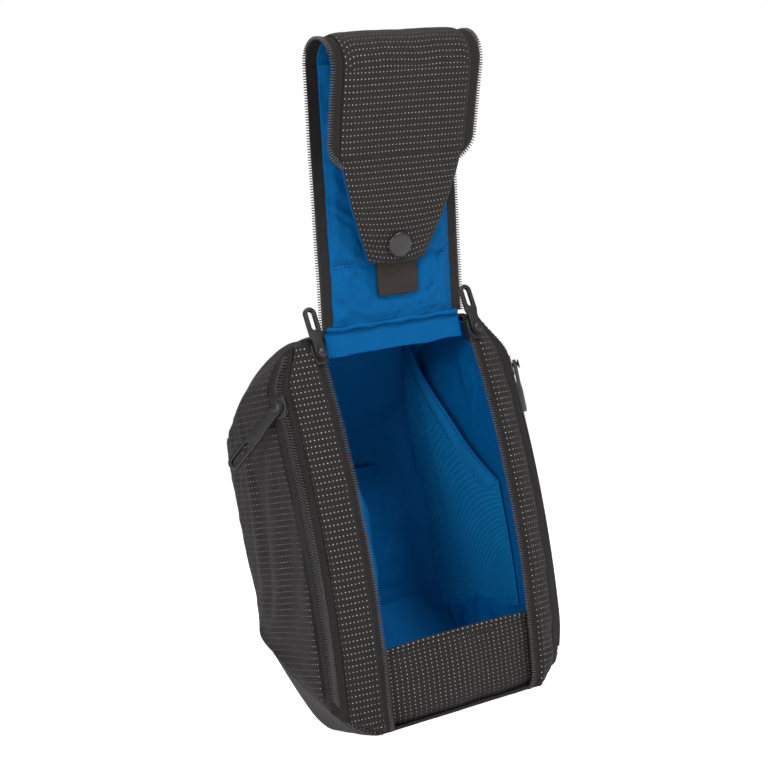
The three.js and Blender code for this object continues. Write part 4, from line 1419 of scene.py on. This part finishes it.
def build_handle():
    start = HANDLE_FRONT - BASE_FLAT_DEPTH / 2
    end = HANDLE_REAR - BASE_FLAT_DEPTH / 2
    foot = BAG_LENGTH + 2.3 * MM

    def strap(u, v):
        lift = HANDLE_RISE * math.sin(math.pi * v) ** 1.2
        lift += 0.5 * MM * noise.noise(Vector((u, v * 4, 9)))
        return Vector(((2 * u - 1) * STRAP_WIDTH / 2, start + (end - start) * v, foot + lift))

    sewn("grab_handle", "bag", "webbing", strap, 16, 90, 1.8 * MM, (0, 0, 1))
    for edge in (0.1, 0.9):
        stitches(
            f"grab_handle_stitches_{'left' if edge < 0.5 else 'right'}", "bag",
            lambda t, e=edge: strap(e, t) + Vector((0, 0, 0.1 * MM)), 0.03, 0.97,
            (0, 0, 1), "dark_thread",
        )

    def tab(u, v):
        depth = TAB_FRONT + 9 * MM * v
        x = (2 * u - 1) * STRAP_WIDTH / 2
        return Vector((x, y_at(depth, BAG_LENGTH), top_at(depth, -1.8 * MM)))

    sewn("handle_tab", "bag", "blue_ribs", tab, 16, 20, 1.5 * MM, (0, 0, 1))


def build_hinge():
    half = MOUTH_HALF - 4 * MM
    path = [
        HINGE
        + Vector((half * (2 * t - 1), 0.35 * MM * math.sin(t * 19), 0.3 * MM * math.sin(t * 31 + 1)))
        for t in np.linspace(0, 1, 70)
    ]
    cord = cord_shape(path, (0, -1, 0), HINGE_CORD, HINGE_CORD, 16)
    cord.piece("hinge_piping", "bag", "blue_lining", ["hinge_piping"])

    def valance(u, v):
        wave = 0.8 * MM * noise.noise(Vector((u * 9, 0.3, 1.7))) * (1 - v)
        uneven = 1.2 * MM * noise.noise(Vector((u * 5, 2, 8))) * (1 - v)
        z = BAG_LENGTH - 14 * MM + 14.4 * MM * v + uneven
        return Vector(((2 * u - 1) * (half + 1 * MM), HINGE.y + 1.4 * MM - wave, z))

    sewn(
        "hinge_valance", "bag", "blue_lining", valance, 60, 16, LINING_CLOTH, (0, -1, 0),
        folds=0.5, fold_size=13, seed=101,
    )


# ---------------------------------------------------------------- the flap
OUTER_LIFT = FLAP_CLOTH + SEAM_GAP / 2
LINING_LIFT = -SEAM_GAP / 2
UPPER_END = ROOT_AT - 5.5 * MM
FLAP_PARTS = (
    # label, first run, last run, rows, bodies, nodes
    ("lower", 0.5 * MM, FOLD_START + 0.4 * MM, 90, "flap_lower", ("lower",)),
    ("fold", FOLD_START, FOLD_END + 0.4 * MM, 40, ("flap_lower", "flap_upper"), ("fold",)),
    ("upper", FOLD_END, UPPER_END + 0.4 * MM, 40, ("flap_upper", "flap_end"), ("upper", "end")),
    ("tongue", UPPER_END, TIP_AT, 48, ("flap_end", "flap_tongue"), ("tongue",)),
)


def blend_places(label):
    """Where a bending flap part starts and stops turning."""
    if label == "fold":
        start = flap_point(0, FOLD_START)
        return start, start + LEAN @ Vector((0, -2 * FOLD_RADIUS, 0))
    if label == "upper":
        return flap_point(0, WRAP_AT - 9 * MM), flap_point(0, WRAP_AT + 7.5 * MM)
    return flap_point(0, ROOT_AT - 4.5 * MM), flap_point(0, ROOT_AT + 8 * MM)


def body_for(label, bodies):
    if isinstance(bodies, str):
        return bodies
    return (*bodies, *blend_places(label))


def flap_half(run):
    """Half the flap's width at a run: straight sides, then the tongue narrows to a round tip."""
    if run <= UPPER_END:
        return FLAP_CLOTH_HALF
    if run < ROOT_AT:
        narrowed = smoothstep(run, UPPER_END, ROOT_AT)
        return FLAP_CLOTH_HALF - (FLAP_CLOTH_HALF - TONGUE_ROOT_HALF) * narrowed
    share = (run - ROOT_AT) / TONGUE_RUN
    straight = TONGUE_ROOT_HALF + (TONGUE_TIP_HALF - TONGUE_ROOT_HALF) * share**1.25
    round_tip = 3 * MM
    short = max(0.0, round_tip - (TIP_AT - run))
    return straight - (round_tip - math.sqrt(max(0.0, round_tip**2 - short**2)))


def flap_ripple(x, run):
    """The whole flap waves a little, the same for its cloth, lining and zippers."""
    share = min(1.0, run / (40 * MM))
    wave = noise.fractal(Vector((x / (70 * MM), run / (80 * MM), 4.4)), 0.8, 2.0, 2)
    return 1.5 * MM * wave * share


LINING_SEAM_RUN = 35 * MM
SNAP_UP = flap_line(SNAP_RUN)[1]
TAB_HIGH = SNAP_UP + 4.8 * MM
TAB_LENGTH = 34 * MM
TAB_MIDDLE = 2.5 * MM


def lining_crease(x, run, edge, loose):
    """How far the flap's lining stands off: slanting wrinkles, and puckers at its seams."""
    inside = smoothstep(edge, 0, 6 * MM)
    if not loose:
        fold = noise.fractal(Vector((x / (20 * MM), run / (14 * MM), 7)), 0.8, 2.0, 3)
        return 0.5 * MM * abs(fold) * inside, 0.6 * MM * inside
    above = run - LINING_SEAM_RUN
    slanting = Vector(((x + 0.6 * run) / (30 * MM), (run - 0.5 * abs(x)) / (11 * MM), 7))
    fold = noise.fractal(slanting, 0.7, 2.0, 3)
    from_edge = noise.fractal(Vector((x / (28 * MM), run / (7 * MM), 3)), 0.7, 2.0, 2)
    from_seam = noise.fractal(Vector((x / (5.5 * MM), run / (30 * MM), 5)), 0.7, 2.0, 2)
    crease = (2.4 * MM * fold + 1.2 * MM * crinkle(fold + 0.05)) * inside
    crease += 1.8 * MM * from_edge * math.exp(-edge / (11 * MM)) * smoothstep(edge, 0, 3 * MM)
    gathered = 1.6 * MM * from_seam + 0.7 * MM * crinkle(from_seam)
    crease += gathered * math.exp(-abs(above) / (9 * MM)) * smoothstep(abs(above), 0, 2 * MM)
    plump = 2.0 * MM * inside * smoothstep(abs(above), 0, 3.5 * MM)
    # Pressed flat behind the webbing tab.
    beside = smoothstep(abs(x - TAB_MIDDLE), 14 * MM, 22 * MM)
    beyond = smoothstep(max(TAB_HIGH - TAB_LENGTH - run, run - TAB_HIGH), 0, 7 * MM)
    free = (0.25 + 0.75 * max(beside, beyond)) * smoothstep(run, 0, 7 * MM)
    return max(crease, -1.0 * MM) * free, plump * free


def outer_crease(x, run, edge):
    """The same for its outer cloth: light creases, and edges that turn in."""
    place = Vector((x, run, 0)) / (26 * MM) + Vector((2, 0, 3))
    plump = 0.6 * MM * smoothstep(edge, 0, 7 * MM) - 0.7 * MM * (1 - smoothstep(edge, 0, 2.2 * MM))
    return 0.3 * MM * noise.fractal(place, 0.9, 2.0, 3), plump


# How far a stretch's cloth reaches past the flap's half width: by kind, and on the tongue or not.
FLAP_MARGINS = {
    ("outer", False): 1.0 * MM,
    ("outer", True): 0.6 * MM,
    ("lining", False): 0.6 * MM,
    ("lining", True): 0.9 * MM,
}
FLAP_COLUMNS = 60
TIP_THINNING = 0.5 * MM


def flap_sheet(label, kind, first, last, rows, base_lift, facing):
    """The places of one stretch's outer face, wrinkles and all."""
    points = []
    for j in range(rows + 1):
        run = first + (last - first) * j / rows
        half = flap_half(run) + FLAP_MARGINS[kind, label == "tongue"]
        line = []
        for i in range(FLAP_COLUMNS + 1):
            x = (2 * i / FLAP_COLUMNS - 1) * half
            edge = half - abs(x)
            if kind == "outer":
                crease, plump = outer_crease(x, run, edge)
            else:
                crease, plump = lining_crease(x, run, edge, label == "lower")
            lift = base_lift + flap_ripple(x, run) + facing * (plump + crease)
            if label == "tongue":
                lift -= facing * TIP_THINNING * (1 - smoothstep(TIP_AT - run, 0, 3 * MM))
            line.append(flap_point(x, run, lift))
        points.append(line)
    return np.array(points)


def build_flap_cloth():
    for label, first, last, rows, bodies, nodes in FLAP_PARTS:
        for kind, base_lift, thickness, material, facing in (
            ("outer", OUTER_LIFT, FLAP_CLOTH, "dotted_cloth", 1),
            ("lining", LINING_LIFT - LINING_CLOTH, LINING_CLOTH, "blue_lining", -1),
        ):
            body = body_for(label, bodies)
            if label == "fold" and kind == "lining":
                # A blended lining would come out on top, because the fold opens by over half a turn.
                body = "flap_lower"
            points = flap_sheet(label, kind, first, last, rows, base_lift, facing)
            sheet = cloth_shape(points, flap_out((first + last) / 2) * facing, thickness)
            replaced = [f"flap_{node}_{kind}" for node in nodes]
            sheet.piece(f"flap_{label}_{kind}", body, material, replaced)


def build_flap_stitches():
    half = FLAP_CLOTH_HALF - 1 * MM

    def row(t):
        x = half * (2 * t - 1)
        lift = LINING_LIFT - LINING_CLOTH - 0.25 * MM + flap_ripple(x, LINING_SEAM_RUN)
        return flap_point(x, LINING_SEAM_RUN, lift)

    inward = flap_out(LINING_SEAM_RUN) * -1
    stitches("flap_lining_stitches", "flap_lower", row, 0.01, 0.99, inward, "blue_thread")


def build_flap_zips():
    """The flap's half of each zipper; it rounds in at the tongue's root."""
    end_round = 12 * MM

    def line(across, run, lift, side):
        """across is how far inside the teeth's outer edge."""
        x = FLAP_CHAIN_OUTER - across
        late = max(0.0, run - (UPPER_END + 4 * MM - end_round))
        x -= 8.5 * MM * min(1, late / end_round) ** 2.2
        return flap_point(side * x, run, lift + flap_ripple(side * x, run))

    for label, first, last, rows, bodies, nodes in FLAP_PARTS[:3]:
        body = body_for(label, bodies)
        if label == "upper":
            last = UPPER_END + 4 * MM
        for side_label, side in SIDES:

            def tape(u, v):
                run = first + (last - first) * v
                return line(1.2 * MM + 8.6 * MM * u, run, 0.45 * MM - 0.3 * MM * u, side)

            sewn(
                f"flap_{label}_tape_{side_label}", body, "dark_tape", tape, 10, rows, TAPE_THICKNESS,
                flap_out((first + last) / 2), [f"flap_{node}_zip_{side_label}" for node in nodes],
            )
            shape = Shape()
            path = even_path(
                lambda t: line(1.2 * MM, first + (last - first) * t, 0.0, side), 0.0, 1.0, TOOTH_PITCH
            )
            if label != "lower":
                path = path[1:]
            steps = len(path) - 1
            for centre, along, _, out in frames_along(
                path, lambda i: flap_out(first + (last - first) * i / steps)
            ):
                tooth(shape, centre, along, out, Vector((side, 0, 0)), 0.78 * MM, 2.1 * MM)
            shape.piece(f"flap_{label}_teeth_{side_label}", body, "zipper_teeth")


def on_flap(run):
    """A frame set square on the flap's line, its Z out of the flap."""
    out = flap_out(run)
    across = Vector((1, 0, 0))
    along = out.cross(across)
    turned = Matrix((across, along, out)).transposed().to_4x4()
    return Matrix.Translation(flap_point(0, run)) @ turned


AXIS_RADIUS = 0.02 * MM


def turned_on_flap(name, body, run, base, profile):
    """A round metal part on the flap's line, from millimetres out from its axis and its base."""
    rings = [(max(AXIS_RADIUS, radius * MM), base + height * MM) for radius, height in profile]
    joined_piece(name, [lathe(rings, on_flap(run))], body, "dark_metal")


def build_snap():
    radius, height, rim = 7.6, 2.6, 1.15
    dome = [(0, 0), (radius - 0.5, 0), (radius, 0.35), (radius, 0.8), (radius - 0.35, rim)]
    for k in range(1, 14):
        turn = math.pi / 2 * k / 13
        dome.append(((radius - 0.45) * math.cos(turn), rim + (height - rim) * math.sin(turn)))
    turned_on_flap("snap_cap", "flap_tongue", SNAP_RUN, OUTER_LIFT + 1.1 * MM, dome)
    ring = [
        (3.0, 0), (4.5, 0), (4.8, -0.5), (4.8, -0.9), (4.2, -1.2), (4.0, -2.0), (3.6, -2.4),
        (3.2, -2.4), (3.0, -2.0), (3.0, 0),
    ]
    inner_face = LINING_LIFT - LINING_CLOTH - 0.3 * MM
    turned_on_flap("snap_socket", "flap_tongue", SNAP_RUN, inner_face, ring)
    stud = [
        (0, 0), (4.2, 0), (4.2, -0.4), (3.9, -0.6), (2.2, -0.7), (1.8, -1.1), (1.8, -1.7),
        (2.05, -2.1), (2.0, -2.5), (1.5, -2.8), (0, -2.85),
    ]
    turned_on_flap("snap_stud", "flap_lower", SNAP_UP, inner_face - 1.5 * MM - 0.3 * MM, stud)


def build_webbing_tab():
    lift = LINING_LIFT - LINING_CLOTH - 0.3 * MM - 2.6 * MM

    def place(u, v):
        run = TAB_HIGH - TAB_LENGTH * (1 - v)
        x = TAB_MIDDLE + (2 * u - 1) * (STRAP_WIDTH / 2 + 0.8 * MM)
        rib = 0.12 * MM * abs(math.sin(math.pi * run / (1.15 * MM)))
        return flap_point(x, run, lift - rib + flap_ripple(x, run))

    sewn(
        "webbing_tab", "flap_lower", "webbing", place, 16, 150, 1.6 * MM, flap_out(60 * MM) * -1,
        folds=0.4, fold_size=22, seed=111,
    )


# ---------------------------------------------------------------- sliders and pulls
def rider(depth, z):
    """The frame of a slider on its bowed track."""
    bow = MOUTH_BOW * (1 - depth / BAG_DEPTH)
    radius = ((BAG_LENGTH / 2) ** 2 + bow * bow) / (2 * bow)
    turn = -math.asin((z - BAG_LENGTH / 2) / radius)
    return Matrix.Translation((0, y_at(depth, z), z)) @ Matrix.Rotation(turn, 4, "X")


FACE_FORWARD = Matrix.Rotation(math.pi / 2, 4, "X")


def pull_mesh(length, place):
    """A flat moulded pull: an eye at its pivot, a long slot near its tip, and a thicker grip."""
    half = 4 * MM
    waist = 3.1 * MM
    outline = (
        arc(0, 0, waist, 0, math.pi, 14)
        + [(-waist, -length * 0.30), (-half, -length * 0.42)]
        + arc(0, half - length, half, math.pi, math.tau, 18)
        + [(half, -length * 0.42), (waist, -length * 0.30)]
    )
    eye = arc(0, 0, 1.8 * MM, 0, math.tau * 15 / 16, 15)
    slot_low = half - length
    slot_high = slot_low + 13 * MM * (length / (45 * MM))

    def slot_outline(radius):
        top = arc(0, slot_high, radius, 0, math.pi, 10)
        return top + arc(0, slot_low, radius, math.pi, math.tau, 10)

    slot, slot_rim = slot_outline(1.7 * MM), slot_outline(1.75 * MM)
    body = plate([outline, eye, slot], 2.0 * MM, 0.35 * MM, place)
    grip_outline = (
        [(-half + 0.35 * MM, -length * 0.47)]
        + arc(0, half - length, half - 0.35 * MM, math.pi, math.tau, 18)
        + [(half - 0.35 * MM, -length * 0.47)]
    )
    return [body, plate([grip_outline, slot_rim], 2.9 * MM, 0.4 * MM, place)]


SLIDER_LENGTH = 12 * MM
PLATE_THICKNESS = 1.3 * MM


def slider_plate(width, place):
    """One face of a slider: broad shoulders where the halves part, narrow where they have met."""
    wide, narrow, half = width / 2, width / 2 * 0.74, SLIDER_LENGTH / 2
    outline = (
        arc(wide - 1.6 * MM, half - 1.6 * MM, 1.6 * MM, 0, math.pi / 2, 6)
        + [(0.9 * MM, half), (0, half - 0.7 * MM), (-0.9 * MM, half)]
        + arc(-wide + 1.6 * MM, half - 1.6 * MM, 1.6 * MM, math.pi / 2, math.pi, 6)
        + [(-wide, 0), (-narrow, -half * 0.5)]
        + arc(-narrow + 1.2 * MM, -half + 1.2 * MM, 1.2 * MM, math.pi, math.pi * 1.5, 6)
        + arc(narrow - 1.2 * MM, -half + 1.2 * MM, 1.2 * MM, math.pi * 1.5, math.tau, 6)
        + [(narrow, -half * 0.5), (wide, 0)]
    )
    return plate([outline], PLATE_THICKNESS, 0.3 * MM, place)


def box_outline(half_x, half_y):
    return [(-half_x, -half_y), (half_x, -half_y), (half_x, half_y), (-half_x, half_y)]


POST_REACH = 0.6 * MM + 2.2 * MM + 0.6 * MM
PIVOT_OUT = 1.7 * MM


def post_mesh(place):
    """The round post a pull hangs from, its head rounded over; it stands out along Z."""
    return lathe(
        [
            (AXIS_RADIUS, -0.5 * MM), (1.4 * MM, -0.5 * MM), (1.4 * MM, POST_REACH),
            (2.4 * MM, POST_REACH), (2.7 * MM, POST_REACH + 0.3 * MM),
            (2.6 * MM, POST_REACH + 0.6 * MM), (1.9 * MM, POST_REACH + 0.9 * MM),
            (AXIS_RADIUS, POST_REACH + 1.0 * MM),
        ],
        place, 28,
    )


MAIN_SLIDER_TOP = 0.975 * BAG_LENGTH
MAIN_SLIDER_WIDTH = 8.8 * MM
MAIN_PULL_LENGTH = 27 * MM
POCKET_SLIDER_TOP = 0.865 * BAG_LENGTH
POCKET_SLIDER_WIDTH = 9 * MM
POCKET_PULL_LENGTH = 45 * MM
POCKET_PULL_SWUNG = math.radians(58)
ON_EDGE = Matrix.Rotation(math.pi / 2, 4, "Y")


def slider_and_pull(kind, label, plates, place, x, front, length, turn):
    """A slider with its post, and the pull that hangs from it; front is its outer face's depth."""
    post = post_mesh(place @ (Matrix.Translation((x, -front, 0)) @ FACE_FORWARD))
    joined_piece(f"{kind}_slider_{label}", [*plates, post], f"{kind}_slider_{label}", "dark_metal")
    pivot = place @ Matrix.Translation((x, -front - PIVOT_OUT, 0))
    pull = pull_mesh(length, pivot @ Matrix.Rotation(turn, 4, "Y") @ FACE_FORWARD)
    joined_piece(f"{kind}_pull_{label}", pull, f"{kind}_pull_{label}", "moulded_pull")


def build_sliders():
    inner_x = MOUTH_HALF - 0.2 * MM
    plate_in = 1.5 * MM
    roof = 0.3 * MM + 1.5 * MM + 0.4 * MM
    tangent = outline_tangent(TAPE_MIDDLE)
    for label, side in SIDES:
        middle_x = side * (inner_x + MAIN_SLIDER_WIDTH / 2)
        track = rider(0, MAIN_SLIDER_TOP - SLIDER_LENGTH / 2)
        plates = []
        for out in (-1, 1):
            middle_y = out * (plate_in + PLATE_THICKNESS / 2)
            at = Matrix.Translation((middle_x, middle_y, 0)) @ FACE_FORWARD
            plates.append(slider_plate(MAIN_SLIDER_WIDTH, track @ at))
        wall = Matrix.Translation((side * (inner_x + 0.35 * MM), 0, 0)) @ ON_EDGE
        plates.append(plate([box_outline(5.4 * MM, 2.4 * MM)], 0.8 * MM, 0.2 * MM, track @ wall))
        slider_and_pull(
            "main", label, plates, track, middle_x, plate_in + PLATE_THICKNESS, MAIN_PULL_LENGTH, math.pi
        )

        track = rider(POCKET_SETBACK, POCKET_SLIDER_TOP - SLIDER_LENGTH / 2)
        saddle = (
            track
            @ Matrix.Translation((side * POCKET_TRACK_HALF, 0, 0))
            @ Matrix.Rotation(side * math.atan2(tangent.y, tangent.x), 4, "Z")
        )
        at = Matrix.Translation((0, -roof - PLATE_THICKNESS / 2, 0)) @ FACE_FORWARD
        plates = [slider_plate(POCKET_SLIDER_WIDTH, saddle @ at)]
        for edge in (-1, 1):
            cheek = Matrix.Translation((edge * 3.6 * MM, -1.6 * MM, 0)) @ ON_EDGE
            plates.append(plate([box_outline(4.6 * MM, 1.0 * MM)], 1.2 * MM, 0.25 * MM, saddle @ cheek))
        slider_and_pull(
            "pocket", label, plates, saddle, 0, roof + PLATE_THICKNESS, POCKET_PULL_LENGTH,
            -side * POCKET_PULL_SWUNG,
        )


# ---------------------------------------------------------------- floor, light and camera
def seen_directly(g, *kinds):
    """1 for the camera's rays and those of the other kinds, 0 for the rays that light things."""
    rays = g.node("ShaderNodeLightPath").outputs
    seen = rays["Is Camera Ray"]
    for kind in kinds:
        seen = g.math("MAXIMUM", seen, rays[f"Is {kind} Ray"])
    return seen


def build_stage():
    mesh = bpy.data.meshes.new("floor")
    mesh.from_pydata([(x, y, 0.0) for x, y in box_outline(6.0, 6.0)], [], [(0, 1, 2, 3)])
    floor = placed("floor", mesh)
    material = bpy.data.materials.new("white_floor")
    g = cleared_graph(material)
    seen = seen_directly(g, "Glossy", "Transmission")
    lit = g.node("ShaderNodeBsdfDiffuse", {"Color": (0.9, 0.9, 0.9, 1)})
    glow = g.node("ShaderNodeEmission", {"Color": (1, 1, 1, 1), "Strength": 0.9})
    both = g.node("ShaderNodeAddShader", {0: lit.outputs[0], 1: glow.outputs[0]})
    plain = g.node("ShaderNodeMixShader", {0: seen, 1: lit.outputs[0], 2: both.outputs[0]})
    g.node("ShaderNodeOutputMaterial", {"Surface": plain.outputs[0]})
    mesh.materials.append(material)

    world = bpy.data.worlds.new("white_room")
    bpy.context.scene.world = world
    g = cleared_graph(world)
    seen = seen_directly(g, "Transmission")
    plain = g.node("ShaderNodeBackground", {"Color": (1, 1, 1, 1), "Strength": 0.26})
    white = g.node("ShaderNodeBackground", {"Color": (1, 1, 1, 1), "Strength": 1.0})
    both = g.node("ShaderNodeMixShader", {0: seen, 1: plain.outputs[0], 2: white.outputs[0]})
    g.node("ShaderNodeOutputWorld", {"Surface": both.outputs[0]})


def build_lamps():
    middle = Vector((0, -0.02, 0.17))
    for name, place, size, power in (
        ("key_softbox", Vector((0.25, -1.25, 1.45)), 0.5, 14.5),
        ("fill_softbox", Vector((-1.35, -1.1, 0.7)), 0.8, 13.0),
        ("top_softbox", Vector((0.1, 0.4, 1.7)), 1.0, 6.0),
    ):
        data = bpy.data.lights.new(name, "AREA")
        data.shape = "DISK"
        data.size = size
        data.energy = power
        lamp = placed(name, data)
        lamp.location = place
        lamp.rotation_euler = (middle - place).to_track_quat("-Z", "Y").to_euler()


CAMERA_PLACE = (-0.510, -0.845, 0.1763)
CAMERA_HEADING, CAMERA_PITCH, CAMERA_ROLL = map(math.radians, (-31.43, 90.96, -10.8))
CAMERA_LENS = 78.26


def build_camera():
    data = bpy.data.cameras.new("photo_camera")
    data.lens = CAMERA_LENS
    data.sensor_width = 36
    data.clip_start = 0.01
    camera = placed("photo_camera", data)
    camera.matrix_world = (
        Matrix.Translation(CAMERA_PLACE)
        @ Matrix.Rotation(CAMERA_HEADING, 4, "Z")
        @ Matrix.Rotation(CAMERA_PITCH, 4, "X")
        @ Matrix.Rotation(CAMERA_ROLL, 4, "Z")
    )
    bpy.context.scene.camera = camera


build_flanks()
build_pocket_coils()
build_main_zips()
build_ends_and_back()
build_front_panel()
build_linings()
build_mesh_pocket()
build_slip_pocket()
build_handle()
build_hinge()
build_flap_cloth()
build_flap_stitches()
build_flap_zips()
build_snap()
build_webbing_tab()
build_sliders()
build_stage()
build_lamps()
build_camera()

bpy.context.scene.view_settings.view_transform = "Standard"
